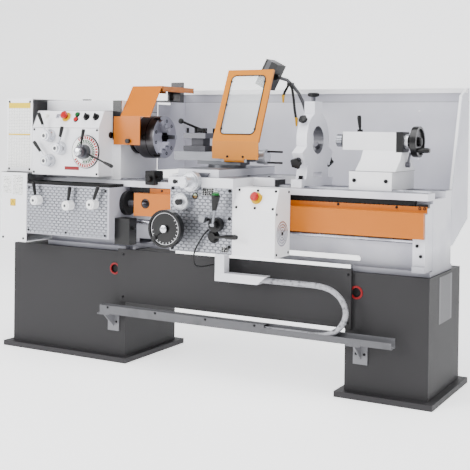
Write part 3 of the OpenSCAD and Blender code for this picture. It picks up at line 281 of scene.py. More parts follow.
room.node_tree.nodes["Background"].inputs[0].default_value = (0.93, 0.95, 1.0, 1.0)
room.node_tree.nodes["Background"].inputs[1].default_value = 0.36


# Pedestals: welded sheet cabinets in dark grey textured paint on foot plates, with the front sheet
# screwed between them. Each lifting hole has a red ring.
def dress(finish, *nodes):
    """Gives a finish to the CAD nodes that the piece is made of."""
    for node in nodes:
        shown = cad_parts[node]
        shown.data.materials.clear()
        shown.data.materials.append(finish.made)


def turned(name, profile, foot, axis, body, finish, sides=40):
    """A turned piece: each (radius, height) of the profile is a circle about the axis. A profile
    that starts away from the axis is a ring round a hole."""
    axis = np.array(axis, float) / np.linalg.norm(axis)
    first = np.cross(axis, [1.0, 0, 0] if abs(axis[0]) < 0.9 else [0, 0, 1.0])
    first /= np.linalg.norm(first)
    second = np.cross(axis, first)
    profile = np.array(profile, float) / 1000.0
    turn = np.linspace(0, 2 * np.pi, sides, endpoint=False)[None, :, None]
    rings = foot + profile[:, 1, None, None] * axis + profile[:, 0, None, None] * (
        np.cos(turn) * first + np.sin(turn) * second)
    return skin(name, rings, body, finish, hollow=profile[0, 0] > 0.001)


dark_sheet = Finish("dark_sheet", paint(76, 74, 77), 0.6)
dark_sheet.lay(dark_sheet.clouds(9, 5).over(0.66, 0.3), paint(82, 80, 83), 0.66)
dark_sheet.lay(dark_sheet.z.under(0.024, 0.003), paint(84, 82, 85), 0.62)
dark_sheet.grain(900, 0.00025, 2)
dress(dark_sheet, "pedestal_left", "pedestal_right")
red_rubber = Finish("red_rubber", paint(170, 14, 30), 0.45).grain(300, 0.0001)
hole_black = Finish("hole_black", paint(22, 20, 22), 0.7).grain(200, 0.0001)
screw_steel = Finish("screw_steel", paint(70, 70, 72), 0.35, 0.9)
screw_steel.lay(screw_steel.clouds(700).over(0.6, 0.2), paint(96, 96, 98), 0.5)
for n, x in enumerate((614, 1820)):
    turned("lift_ring_%d" % (n + 1), [(19, -1), (27, -0.5), (28, 1), (27, 3), (23, 4.5), (20.5, 4), (19, 1)],
           at(x, 0, 428), forward, "base", red_rubber)
    turned("lift_sleeve_%d" % (n + 1), [(0.01, -9), (21.5, -9), (21.5, -2), (19, -1.5), (18.5, -7),
                                        (0.01, -7)], at(x, 0, 428), forward, "base", hole_black)
button_head = [(0.01, 0), (5.5, 0), (5.5, 1.4), (4.6, 2.6), (2.4, 3.1), (2.2, 1.2), (0.01, 1.2)]


def screws(name, head, places, axis, body, sides=20):
    """Screw heads of one kind, numbered in the order of their places."""
    for n, place in enumerate(places):
        turned("%s_%d" % (name, n + 1), head, at(*place), axis, body, screw_steel, sides)


screws("panel_screw", button_head, [(x, -15, z) for x in (672, 1789) for z in (500, 304)], forward, "base")


def card(name, middle, right, up, size, body, finish, thick=0.8, corner=3.0):
    """A thin plate with rounded corners: the outline of a rounded rectangle, carried up by the
    thickness and drawn in a little at the top edge."""
    right, up = np.array(right, float), np.array(up, float)
    out = np.cross(right, up)
    half = np.array(size, float) / 2 - corner
    turn = np.radians(np.concatenate([np.linspace(q, q + 90, 6) for q in (0, 90, 180, 270)]))
    away = np.stack([np.repeat([1, -1, -1, 1], 6) * half[0], np.repeat([1, 1, -1, -1], 6) * half[1]], 1)
    edge = min(0.3 * thick, 1.0)
    rings = []
    for lift, draw in ((0, 0), (thick - edge, 0), (thick, edge)):
        flat = away + (corner - draw) * np.stack([np.cos(turn), np.sin(turn)], 1)
        rings.append(middle + (flat[:, :1] * right + flat[:, 1:] * up + lift * out) / 1000.0)
    return skin(name, np.array(rings), body, finish)


side_label = Finish("side_label", paint(150, 150, 152), 0.5)
line_mask = (side_label.z * 260.0).do("FRACT").between(0.2, 0.65, 0.06) * side_label.y.between(0.02, 0.155)
side_label.lay(line_mask, paint(112, 112, 114))
card("side_label", at(2125, 221, 402), (0, 1, 0), upward, (177, 192), "base", side_label)


# Trough and its brackets: folded mid grey sheet in front of the pedestals, where the drag hose
# rolls out. Its left part has a lid.
trough_grey = Finish("trough_grey", paint(136, 136, 139), 0.5, coat=0.1)
trough_grey.lay(trough_grey.clouds(14, 5).over(0.64, 0.25), paint(122, 122, 125), 0.6)
trough_grey.lay(trough_grey.z.under(0.24, 0.01) * trough_grey.y.over(-0.22, 0.004), paint(160, 160, 163))
trough_grey.grain(800, 0.00015)
dress(trough_grey, "cable_trough")
bracket_holes = ((594, 215), (594, 180), (1824, 215), (1824, 180), (630, 180), (1860, 180))
screws("bracket_screw", button_head, [(x, -6, z) for x, z in bracket_holes], forward, "base")
screws("lid_screw", button_head, [(x, -90, 262) for x in (640, 900, 1160, 1400)], forward, "base")


# Bed: grey iron casting painted off-white below, with the ways ground bright and painted shade darkening it
# towards its bottom. The rack under the front way stays bare, and is painted darker for the shade in the gap
# under the way.
bed_paint_and_shade = Finish("bed_paint_and_shade", paint(216, 216, 220), 0.42, coat=0.25)
bed_paint_and_shade.lay(bed_paint_and_shade.clouds(6, 5).over(0.6, 0.3), paint(206, 206, 211), 0.5)
# Painted shade: the casting darkens softly towards its bottom, under the ways.
bed_paint_and_shade.lay(bed_paint_and_shade.z.under(0.56, 0.12), paint(150, 150, 156))
bed_paint_and_shade.lay(bed_paint_and_shade.z.over(0.8425, 0.0006), paint(188, 189, 192), 0.3, 0.85)
scraped = bed_paint_and_shade.clouds(40, 2, (0.3, 3, 1))
bed_paint_and_shade.lay(bed_paint_and_shade.z.over(0.8425, 0.0006) * scraped.over(0.55, 0.2), paint(140, 141, 146), 0.22)
# The bare rack under the front way, painted darker for the shade in the gap under the way.
rack_and_gap_shade = bed_paint_and_shade.z.between(0.786, 0.8145) * bed_paint_and_shade.y.between(-0.146, -0.116)
bed_paint_and_shade.lay(rack_and_gap_shade, paint(52, 52, 54), 0.45, 0.7)
bed_paint_and_shade.grain(500, 0.00012)
dress(bed_paint_and_shade, "bed")
screws("bearing_screw", [(0.01, 0), (6.5, 0), (6.5, 5), (5.8, 6), (3.2, 6), (3, 2.5), (0.01, 2.5)],
       ((2085, -38, 640), (2100, -38, 600), (2085, -9, 785), (2105, -9, 785)), forward, "base", 24)
stop_black = Finish("stop_black", paint(34, 34, 36), 0.45, 0.3).grain(400, 0.0001)


def block(name, low, high, edge, body, finish):
    """A solid block with its edges broken: a squared ring drawn in at its foot and its top."""
    rings = []
    for z, e in ((low[2], edge), (low[2] + edge, 0), (high[2] - edge, 0), (high[2], edge)):
        x0, y0, x1, y1 = low[0] + e, low[1] + e, high[0] - e, high[1] - e
        corners = ((x0 + edge, y0), (x1 - edge, y0), (x1, y0 + edge), (x1, y1 - edge),
                   (x1 - edge, y1), (x0 + edge, y1), (x0, y1 - edge), (x0, y0 + edge))
        rings.append([at(x, y, z) for x, y in corners])
    return skin(name, np.array(rings), body, finish)


block("carriage_stop", (806, -44, 829), (858, 30, 893), 2.5, "base", stop_black)
turned("stop_spindle", [(0.01, 0), (7, 0), (7, 8), (5, 10), (0.01, 10)], at(858, -18, 866), rightward,
       "base", screw_steel)
turned("stop_knob", [(0.01, 0), (13, 0), (14, 3), (14, 14), (12, 17), (0.01, 17)], at(832, -44, 858),
       forward, "base", stop_black)


# Headstock: hollow casting with a lever cabinet on its front, painted off-white. The lid is a
# separate casting, and a dark joint line runs between the front plate and the leaning panel.
def painted(name, colour, shade, rough, coat, lumps=5, edge=0.6, soft=0.35):
    """Sprayed paint over metal: clouds of a slightly deeper shade, a little duller than the rest."""
    f = Finish(name, colour, rough, coat=coat)
    return f.lay(f.clouds(lumps, 4).over(edge, soft), shade, rough + 0.06)


body_paint = painted("body_paint", paint(226, 226, 230), paint(219, 219, 224), 0.36, 0.35)
body_paint.grain(420, 0.0001)
cabinet_y = -100
head_paint = painted("head_paint", paint(228, 228, 232), paint(221, 221, 226), 0.36, 0.35)
head_paint.lay(head_paint.y.under(-0.2315) * head_paint.z.between(1.0825, 1.0855), paint(70, 70, 72))
head_paint.lay(head_paint.z.between(1.1635, 1.1665) * head_paint.y.over(-0.2), paint(150, 150, 154))
head_paint.lay(head_paint.z.over(1.2155) * head_paint.y.over(0.15), paint(120, 120, 124), 0.5)
head_paint.lay(head_paint.z.over(1.2155) * head_paint.y.under(0.1), paint(30, 30, 32), 0.5)
sight_glass = head_paint.x.over(-0.4773) * head_paint.y.under(-0.12) * head_paint.z.over(1.03)
head_paint.lay(sight_glass, paint(20, 20, 22), 0.2)
head_paint.lay(head_paint.x.over(-0.429) * head_paint.z.under(1.2), paint(60, 60, 62), 0.35, 0.6)
speed_hub = at(514, 0, 974)[[0, 2]]
boss = head_paint.away(head_paint.x, head_paint.z, *speed_hub)
on_boss = head_paint.y.under(-0.2332) * boss.under(0.0762)
head_paint.lay(on_boss, paint(238, 238, 238), 0.3)
head_paint.lay(on_boss * boss.under(0.014), paint(160, 160, 164), 0.25, 0.9)
head_paint.grain(420, 0.0001)
dress(head_paint, "headstock")
screws("cabinet_screw", button_head, [(x, cabinet_y, z) for z in (871, 1074) for x in (204, 576)], forward,
       "base")


# Speed plate: an engraved disc with a red arc outside and a green one inside, and marks all
# round, held under the hubs of the two speed levers.
plate_face = Finish("plate_face", paint(240, 240, 238), 0.3)
reach = plate_face.away(plate_face.x, plate_face.z, *speed_hub)
angle = (plate_face.z - speed_hub[1]).do("ARCTAN2", plate_face.x - speed_hub[0])
ticks = (angle * 5.093).do("FRACT").between(0.35, 0.65, 0.04)
plate_face.lay(reach.between(0.0585, 0.0725) * angle.between(-2.6, 2.2, 0.01), paint(184, 0, 10))
plate_face.lay(reach.between(0.0425, 0.0555) * angle.between(-1.9, 2.75, 0.01), paint(0, 116, 40))
plate_face.lay(reach.between(0.0605, 0.0705) * ticks, paint(245, 245, 243))
plate_face.lay(reach.between(0.0445, 0.0535) * ticks, paint(245, 245, 243))
plate_face.lay(reach.under(0.0405) * reach.over(0.038), paint(90, 90, 92))
turned("speed_plate", [(13, 0), (74.6, 0), (75, 0.5), (74.6, 1.2), (13, 1.2)], at(514, -106, 974), forward,
       "base", plate_face, 72)
turned("speed_rim", [(74, 0), (78, 0), (78, 5), (76.5, 8), (75, 8), (74, 5)], at(514, cabinet_y, 974),
       forward, "base", screw_steel, 72)


# Levers of the headstock: turned hubs with a pale ring, a slanted arm, and a black moulded grip.
def lever_finish(name, x, z, y_face, grip_from, ring):
    """Bright hub, black grip beyond a given reach, and a pale ring on the hub's face."""
    f = Finish(name, paint(210, 211, 214), 0.28, 0.85)
    far = f.away(f.x, f.z, (x - 1062.5) / 1000, z / 1000)
    f.lay(far.over(grip_from / 1000), paint(20, 20, 22), 0.38, 0.0)
    front = f.y.under((y_face - 132.5) / 1000)
    f.lay(far.between(ring[0] / 1000, ring[1] / 1000) * front, paint(240, 240, 240), 0.3, 0.0)
    f.lay(far.under(ring[0] / 1000) * front, paint(120, 121, 124), 0.35, 0.4)
    f.grain(600, 0.00005, 2, (1, 0.1, 1))
    return f


bright_steel = Finish("bright_steel", paint(214, 215, 218), 0.24, 0.9)
bright_steel.lay(bright_steel.clouds(300).over(0.6, 0.2), paint(186, 187, 191), 0.32)
for node, x, z in (("head_lever_1", 302, 1045), ("head_lever_2", 369, 987), ("head_lever_3", 303, 927)):
    dress(lever_finish("bright_" + node, x, z, -143, 56, (9, 15)), node)
    turned(node + "_skirt", [(24, 0), (31, 0), (32, 3), (29, 16), (25.6, 26), (24, 26)], at(x, cabinet_y, z),
           forward, "lever_" + node[-1], bright_steel, 48)
for node, name in (("speed_lever_a", "a"), ("speed_lever_b", "b")):
    speed_black = Finish("speed_black_" + name, paint(24, 24, 26), 0.36)
    hub = speed_black.away(speed_black.x, speed_black.z, *speed_hub)
    speed_black.lay(hub.under(0.036) * speed_black.y.under(-0.2), paint(150, 150, 154), 0.28, 0.85)
    speed_black.grain(300, 0.00008)
    dress(speed_black, node)
turned("speed_cap", [(0.01, 0), (19, 0), (20, 2), (17, 9), (9, 11), (0.01, 11)], at(514, -161, 974), forward,
       "base", bright_steel, 48)


# Switches on the leaning panel: an emergency stop on its yellow ring, a green and a red button,
# two black selectors, a signal lamp and an engraved mark.
lean = math.atan(42 / 83)
front_out = np.array([0, -math.cos(lean), math.sin(lean)])
panel_y, panel_z = cabinet_y + 52 * math.tan(lean), 1134
stop_red = Finish("stop_red", paint(192, 14, 24), 0.34, coat=0.3).grain(150, 0.0001)
dress(stop_red, "head_stop", "apron_stop", "stop_button")
go_green = Finish("go_green", paint(10, 132, 70), 0.3, coat=0.4).grain(150, 0.0001)
dress(go_green, "start_button")
knob_black = Finish("knob_black", paint(26, 26, 28), 0.38).grain(350, 0.0001)
dress(knob_black, "selector_1", "selector_2")
ring_yellow = Finish("ring_yellow", paint(212, 194, 0), 0.4, coat=0.2).grain(200, 0.0001)
turned("stop_ring", [(9, 0), (23, 0), (24, 1.5), (22, 5), (10, 5), (9, 4)], at(377, panel_y, panel_z),
       front_out, "base", ring_yellow, 48)
for n, x in enumerate((496, 551)):
    turned("selector_ring_%d" % (n + 1), [(13.6, 0), (16.5, 0), (16.5, 2), (15, 3.4), (13.6, 3.4)],
           at(x, panel_y, panel_z), front_out, "base", screw_steel, 40)
for n, s in enumerate((-1, 1)):
    ring = [(10.6, 0), (13, 0), (13, 2), (12, 4), (10.6, 4)]
    turned("button_ring_%d" % (n + 1), ring, at(438, panel_y, panel_z)
           + s * 0.013 * np.array([0, math.sin(lean), math.cos(lean)]), front_out, "base", knob_black, 40)
lamp_white = Finish("lamp_white", paint(236, 236, 226), 0.25).grain(100, 0.0001)
turned("signal_lamp", [(0.01, 0), (11, 0), (11, 3), (8.5, 4), (7, 8), (3.5, 10.5), (0.01, 11)],
       at(258, panel_y, panel_z + 4), front_out, "base", lamp_white)
mark_grey = Finish("mark_grey", paint(190, 190, 194), 0.4)
mark_far = mark_grey.away(mark_grey.x, mark_grey.z, -0.7385, 1.142)
mark_grey.lay(mark_far.between(0.004, 0.007), paint(110, 110, 114))
card("engraved_mark", at(324, panel_y + 2, panel_z + 4), rightward, (0, math.sin(lean), math.cos(lean)),
     (22, 22), "base", mark_grey)
blank_plate = Finish("blank_plate", paint(168, 16, 36), 0.35, coat=0.3)
end_rim = (blank_plate.x + 0.63).do("ABSOLUTE").over(0.0425)
long_rim = (blank_plate.z - 0.895).do("ABSOLUTE").over(0.0085)
blank_plate.lay((end_rim + long_rim).do("MINIMUM", 1.0), paint(238, 238, 238), 0.3)
card("name_plate_blank", at(432.5, cabinet_y, 895), rightward, upward, (92, 24), "base", blank_plate)


# End covers: folded sheet doors over the belts and change gears. A chart with a yellow heading
# is fixed to the upper one, and two small plates to the lower one.
low_front_y = -135
cover_paint = painted("cover_paint", paint(232, 232, 235), paint(225, 225, 229), 0.38, 0.3, 5, 0.62, 0.35)
cover_paint.lay(cover_paint.z.between(0.8655, 0.8705) * cover_paint.y.under(-0.23), paint(96, 96, 98))
cover_paint.grain(420, 0.0001)
dress(cover_paint, "end_cover")
chart = Finish("chart", paint(236, 236, 232), 0.35)
cell_x, cell_z = (chart.x * 62.0).do("FRACT"), (chart.z * 70.0).do("FRACT")
grid_line = (cell_x.under(0.09, 0.03) + cell_z.under(0.09, 0.03)).do("MINIMUM", 1.0)
in_cell = cell_x.between(0.2, 0.85, 0.05) * cell_z.between(0.3, 0.75, 0.05)
dots = chart.clouds(520, 1).over(0.56, 0.04) * in_cell
chart.lay((grid_line * 0.7 + dots * 0.6).do("MINIMUM", 1.0) * chart.z.under(1.175), paint(96, 98, 100))
chart.lay(chart.z.over(1.175), paint(214, 200, 10))
chart.lay(chart.z.between(1.045, 1.052), paint(214, 200, 30))
card("gear_chart", at(111, cabinet_y, 1045), rightward, upward, (136, 312), "base", chart, 1.0, 4)
small_plate = Finish("small_plate", paint(238, 238, 236), 0.35)
row_mask = (small_plate.z * 150.0).do("FRACT").between(0.25, 0.6, 0.05)
small_plate.lay(row_mask * small_plate.clouds(260, 1).over(0.47, 0.03), paint(80, 80, 84))
card("cover_plate_1", at(70, low_front_y, 806), rightward, upward, (50, 78), "base", small_plate)
card("cover_plate_2", at(136, low_front_y, 806), rightward, upward, (60, 92), "base", small_plate)
sign_yellow = Finish("sign_yellow", paint(212, 196, 10), 0.4)
rise = (sign_yellow.z - 0.716) * 0.577 + (sign_yellow.x + 0.9565).do("ABSOLUTE")
sign_yellow.lay(rise.between(0.0075, 0.0095), paint(20, 20, 20))
card("warning_sign", at(106, low_front_y, 722), rightward, upward, (34, 34), "base", sign_yellow)
screws("cover_screw", button_head, [(x, cabinet_y, z) for z in (1206, 882) for x in (48, 176)]
       + [(46, low_front_y, 552), (172, low_front_y, 552)], forward, "base")


# Gearbox of the feeds: a casting under the headstock with an engine-turned front plate, the black
# cover of the leadscrew's clutch and the black switch housing on its right side.
box_paint = Finish("box_paint", paint(196, 196, 200), 0.42, coat=0.2)
box_paint.lay(box_paint.x.over(-0.3872), paint(26, 26, 28), 0.42)
box_paint.lay(box_paint.clouds(6, 4).over(0.65, 0.3) * box_paint.x.under(-0.388), paint(186, 186, 190), 0.5)
box_paint.grain(420, 0.0001)
dress(box_paint, "gearbox")


def swirled(name, pitch, u_axis, v_axis):
    """Engine-turned metal: overlapping rubbed discs in rows, each catching the light its own way."""
    f = Finish(name, paint(176, 177, 181), 0.36, 0.75)
    u, v = getattr(f, u_axis) * (0.5 / pitch), getattr(f, v_axis) * (1 / pitch)
    row = v.do("FLOOR")
    u = u + (row * 0.5).do("FRACT")
    du, dv = (u.do("FRACT") - 0.5) * 1.5, v.do("FRACT") - 0.2
    far = (du * du + dv * dv).do("SQRT")
    rub = (far * 4.0 + f.clouds(45, 2) * 1.2).do("FRACT")
    f.lay(rub.between(0.1, 0.55, 0.3), paint(204, 205, 208), 0.3)
    f.lay(far.over(0.62, 0.14), paint(144, 145, 150), 0.42)
    f.lay(f.clouds(9, 4).over(0.6, 0.3), paint(176, 177, 181), 0.4)
    f.raised(rub, 0.0001)
    return f


turned_plate = swirled("turned_plate", 0.013, "x", "z")
card("gearbox_plate", at(430, low_front_y, 697), rightward, upward, (470, 226), "base", turned_plate, 1.2, 5)
gearbox_holes = ((206, 596), (654, 596), (206, 798), (654, 798), (430, 596))
screws("gearbox_screw", button_head, [(x, -136.2, z) for x, z in gearbox_holes], forward, "base")
for node, x, z in (("gear_lever_1", 270, 741), ("gear_lever_2", 458, 725), ("gear_lever_3", 598, 737)):
    pale = lever_finish("pale_" + node, x, z, -176, 24, (7, 14))
    hub_near = pale.away(pale.x, pale.z, (x - 1062.5) / 1000, z / 1000)
    pale.lay(hub_near.between(0.014, 0.0225), paint(232, 232, 234), 0.3, 0.0)
    dress(pale, node)
mat_black = Finish("mat_black", paint(26, 26, 27), 0.75)
across_stud = ((mat_black.x * 120.0).do("FRACT") - 0.5).do("ABSOLUTE")
along_stud = ((mat_black.y * 120.0).do("FRACT") - 0.5).do("ABSOLUTE")
stud = across_stud.do("MAXIMUM", along_stud)
mat_black.raised(stud.under(0.32, 0.1), 0.0008)
card("top_mat", at(433, -75, 814), rightward, (0, 1, 0), (480, 116), "base", mat_black, 13, 6)
turned("clutch_rim", [(48, 0), (55.5, 0), (56, 0.5), (55, 1.6), (51, 2), (48, 1)], at(695, -2, 738),
       rightward, "base", knob_black, 64)


# Splash guard: folded light grey sheet behind the bed, with painted highlights on its folded rims and
# three upright rows of rivets.
guard_paint_and_highlights = painted("guard_paint_and_highlights", paint(212, 212, 216), paint(202, 202, 207), 0.4, 0.25, 3, 0.6, 0.4)
# Painted highlights: the top lip and the right wing's front flange are painted lighter, as lit edges.
guard_paint_and_highlights.lay(guard_paint_and_highlights.z.over(1.2605) * guard_paint_and_highlights.y.under(0.4158), paint(236, 236, 239))
guard_paint_and_highlights.lay(guard_paint_and_highlights.x.over(1.0408) * guard_paint_and_highlights.x.under(1.0514), paint(240, 240, 243))
guard_paint_and_highlights.lay(guard_paint_and_highlights.z.between(1.2213, 1.2233) * guard_paint_and_highlights.y.over(0.42), paint(160, 160, 164))
guard_paint_and_highlights.grain(420, 0.0001)
dress(guard_paint_and_highlights, "splash_guard")
for n, (x, z) in enumerate([(x, z) for x in (880, 1400, 1890) for z in (760, 960, 1180)]):
    turned("guard_rivet_%d" % (n + 1), [(0.01, 0), (5, 0), (4.4, 1.6), (2, 2.4), (0.01, 2.5)], at(x, 565, z),
           forward, "base", body_paint, 20)


# Spindle nose and chuck: ground steel with fine turning marks. The three stepped jaws have their
# own serrations, and the chuck's rim is drilled for its key.
def machined(name, colour, rough, u, v, centre):
    """Turned steel: fine rings about an axis square to u and v, with faint cloudy wear."""
    f = Finish(name, colour, rough, 0.95)
    far = f.away(getattr(f, u), getattr(f, v), *centre)
    groove = (far * 900.0).do("SINE") * 0.5 + 0.5
    f.lay(groove.over(0.7, 0.5), tuple(np.array(colour[:3]) * 0.82) + (1.0,), rough + 0.06)
    f.lay(f.clouds(25, 4).over(0.6, 0.3), tuple(np.array(colour[:3]) * 0.9) + (1.0,), rough + 0.1)
    f.raised(groove, 0.00003)
    return f


spindle_y, spindle_z = 150, 1045
spindle_axis = at(0, spindle_y, spindle_z)[1:]
dress(machined("spindle_steel", paint(170, 170, 174), 0.32, "y", "z", spindle_axis), "spindle")
chuck_dark = machined("chuck_dark", paint(138, 136, 138), 0.3, "y", "z", spindle_axis)
rim = chuck_dark.away(chuck_dark.y, chuck_dark.z, *spindle_axis)
chuck_dark.lay(chuck_dark.x.over(-0.2785) * rim.over(0.0275), paint(188, 188, 192), 0.28)
chuck_dark.lay(rim.over(0.099) * chuck_dark.x.between(-0.322, -0.3185), paint(30, 30, 32), 0.5)
dress(chuck_dark, "chuck")
jaw_steel = Finish("jaw_steel", paint(196, 196, 200), 0.3, 0.95)
teeth = (jaw_steel.away(jaw_steel.y, jaw_steel.z, *spindle_axis) * 420.0).do("FRACT")
jaw_steel.lay(teeth.over(0.6, 0.3) * jaw_steel.x.under(-0.2775), paint(80, 80, 84), 0.4)
jaw_steel.raised(teeth, 0.0001)
dress(jaw_steel, "chuck_jaw_1", "chuck_jaw_2", "chuck_jaw_3")


def round_spindle(degrees):
    """The direction out from the spindle's axis, at an angle from straight up towards the front."""
    return np.array([0, -math.sin(math.radians(degrees)), math.cos(math.radians(degrees))])


bolt_sink = [(0.01, -0.4), (8, -0.4), (8, 0.5), (6.8, 1.0), (4.4, 0.8), (4.4, -0.2), (0.01, -0.2)]
for n in range(3):
    out = round_spindle(120 * n - 30)
    turned("key_socket_%d" % (n + 1),
           [(0.01, -0.5), (13, -0.5), (13, 0.8), (11, 1.4), (7, 1.2), (7, -0.2), (0.01, -0.2)],
           at(735, spindle_y, spindle_z) + 0.0995 * out, out, "chuck_unit", hole_black, 32)
    for k, spread in enumerate((-18, 18)):
        turned("chuck_bolt_%d" % (2 * n + k + 1), bolt_sink,
               at(785, spindle_y, spindle_z) + 0.078 * round_spindle(120 * n - 30 + spread), rightward,
               "chuck_unit", hole_black, 24)


# Chuck guard: bent yellow sheet on a rear hinge, with a black turn knob low on its front.
def yellow(name, colour, shade, lumps):
    """Yellow enamel on sheet: fine orange-peel grain and faint clouds of a deeper shade."""
    f = Finish(name, colour, 0.4, coat=0.3)
    return f.lay(f.clouds(lumps, 4).over(0.6, 0.4), shade, 0.45).grain(350, 0.00012)


yellow_coat = yellow("yellow_coat", paint(200, 148, 0), paint(197, 144, 0), 4)
guard_yellow = yellow("guard_yellow", paint(200, 148, 0), paint(197, 144, 0), 4)
turn_knob = guard_yellow.away(guard_yellow.x, guard_yellow.z, -0.3795, 1.026).under(0.0115)
guard_yellow.lay(turn_knob * guard_yellow.y.under(-0.1326), paint(20, 20, 22), 0.4)
guard_yellow.lay(guard_yellow.y.over(0.248), paint(60, 60, 62), 0.4, 0.7)
dress(guard_yellow, "chuck_guard")
screws("hinge_screw", button_head, ((650, 372, 1285), (712, 372, 1285)), upward, "guard")


# Leadscrew and feed rod: bright shafts in front of the bed. The leadscrew's thread is cut at
# 6 mm pitch, and the rod has a keyway all along.
thread = Finish("thread", paint(190, 190, 194), 0.3, 0.95)
wind = (thread.x * (1000 / 6.0) + (thread.z - 0.738).do("ARCTAN2", thread.y + 0.1345) * 0.15915).do("FRACT")
thread.lay(wind.between(0.3, 0.75, 0.12), paint(110, 110, 113), 0.42)
thread.raised(wind.between(0.3, 0.75, 0.2), 0.0012)
dress(thread, "leadscrew")
rod_steel = Finish("rod_steel", paint(200, 200, 204), 0.25, 0.95)
keyway = rod_steel.z.over(0.6645) * (rod_steel.y + 0.1345).do("ABSOLUTE").under(0.003)
rod_steel.lay(keyway, paint(40, 40, 42), 0.5)
rod_steel.lay(rod_steel.clouds(30, 3, (0.2, 1, 1)).over(0.6, 0.3), paint(128, 128, 132), 0.35)
dress(rod_steel, "feed_rod")


# Leadscrew covers: folded yellow sheet. The left one travels with the apron and has a round
# sight hole; the right one is fixed to the bed and slides behind the drive box.
dress(yellow_coat, "cover_right", "cover_left")
turned("sight_rim", [(18.5, -1), (20.5, 0), (22, 0), (22, 1), (20.5, 1.4), (18.5, 1)], at(819, -57, 745),
       forward, "carriage", screw_steel, 40)
cover_fixings = [(x, -13, 786, "base") for x in (1740, 1500, 1990)]
cover_fixings += [(x, -14.5, 803, "carriage") for x in (880, 1000)]
for n, (x, y, z, body) in enumerate(cover_fixings):
    turned("cover_fixing_%d" % (n + 1), button_head, at(x, y, z), forward, body, screw_steel, 20)


# Saddle: off-white casting across the ways, with felt wipers in black holders at the ends of its
# wings and oilers on top.
saddle_paint = painted("saddle_paint", paint(226, 226, 230), paint(217, 217, 222), 0.36, 0.35)
saddle_paint.lay(saddle_paint.z.over(0.8822, 0.0004), paint(168, 169, 173), 0.32, 0.8)
saddle_paint.grain(420, 0.0001)
dress(saddle_paint, "saddle")
for n, (x, y0, y1) in enumerate(((1450, -14, 76), (1450, 224, 322), (929, -14, 76), (929, 224, 322))):
    block("way_wiper_%d" % (n + 1), (x, y0, 846), (x + 6, y1, 874), 1, "carriage", knob_black)
screws("oiler", [(0.01, 0), (7, 0), (7, 1.5), (5, 3), (2, 3.6), (0.01, 3.6)],
       ((980, 30, 883), (1400, 30, 883), (980, 280, 883), (1300, 30, 883)), upward, "carriage", 24)


# Apron: cast box hung from the saddle, with an engine-turned plate on its front. Under it a white
# bracket holds the channel that the drag hose runs into; a low band is painted darker as shade under the
# apron.
apron_paint_and_shade = painted("apron_paint_and_shade", paint(224, 224, 228), paint(216, 216, 221), 0.38, 0.3)
# Painted shade: a low band, in the apron's shadow, is painted darker.
apron_paint_and_shade.lay(apron_paint_and_shade.z.under(0.4345) * apron_paint_and_shade.z.over(0.4), paint(200, 200, 204))
black_bits = apron_paint_and_shade.y.under(-0.3336) * apron_paint_and_shade.z.between(0.65, 0.735)
apron_paint_and_shade.lay(black_bits, paint(26, 26, 28), 0.4)
knob_mask = apron_paint_and_shade.y.under(-0.36) * apron_paint_and_shade.x.under(0.192)
apron_paint_and_shade.lay(knob_mask, paint(178, 179, 182), 0.28, 0.85)
apron_paint_and_shade.grain(420, 0.0001)
dress(apron_paint_and_shade, "apron")
card("apron_plate", at(1197, -200, 704), rightward, upward, (300, 274), "carriage", turned_plate, 1.2, 5)
label_black = Finish("label_black", paint(24, 24, 26), 0.3, coat=0.3)
cells = (label_black.x * 95.0).do("FRACT").between(0.2, 0.8, 0.05)
cells = cells * (label_black.z * 150.0).do("FRACT").between(0.3, 0.7, 0.05)
label_black.lay(cells * label_black.clouds(300, 1).over(0.5, 0.05), paint(220, 220, 220))
card("apron_label", at(1232, -202, 823), rightward, upward, (56, 32), "carriage", label_black)
card("apron_label_small", at(1316, -201, 586), rightward, upward, (34, 22), "carriage", label_black)
sight = Finish("sight", paint(190, 196, 180), 0.1, coat=1.0)
sight.lay(sight.z.under(0.806), paint(150, 120, 40), 0.1)
turned("oil_sight", [(0.01, 0), (11, 0), (11, 0.8), (8, 2), (0.01, 2.4)], at(1171, -204, 804), forward,
       "carriage", sight)
turned("sight_ring", [(10.5, 0), (14, 0), (14, 2), (12.6, 3.4), (10.5, 2.6)], at(1171, -204, 804), forward,
       "carriage", screw_steel)
apron_holes = ((1058, 578), (1336, 600), (1058, 832), (1336, 832), (1336, 716))
screws("apron_screw", [(0.01, 0), (7, 0), (7, 3.4), (6.2, 4.4), (3.6, 4.4), (3.4, 2), (0.01, 2)],
       [(x, -201.2, z) for x, z in apron_holes], forward, "carriage", 24)


# Drive box: white sheet box beside the apron with a leaning top front, a fan outlet in its right
# side and an emergency stop on a yellow ring.
drive_paint = painted("drive_paint", paint(234, 234, 237), paint(228, 228, 232), 0.36, 0.35)
ring_far = drive_paint.away(drive_paint.x, drive_paint.z, 0.3875, 0.808)
drive_paint.lay(ring_far.under(0.026) * drive_paint.y.under(-0.308), paint(212, 194, 0), 0.4)
fan_far = drive_paint.away(drive_paint.y, drive_paint.z, -0.2665, 0.662)
drive_paint.lay(drive_paint.x.over(0.4822) * fan_far.under(0.053), paint(214, 214, 217), 0.4)
drive_paint.grain(420, 0.0001)
dress(drive_paint, "drive_box")
box_lean = math.atan(35 / 90)
box_out = np.array([0, -math.cos(box_lean), math.sin(box_lean)])
screws("drive_screw", button_head, [(x, -200 + up * math.tan(box_lean), 756 + up)
                                    for x in (1364, 1450, 1532) for up in (10, 80)], box_out, "carriage")
side_holes = ((-186, 580), (-76, 580), (-186, 744), (-76, 830))
screws("drive_side_screw", button_head, [(1545, y, z) for y, z in side_holes], rightward, "carriage")
fan_dark = Finish("fan_dark", paint(30, 30, 32), 0.6).grain(200, 0.0001)
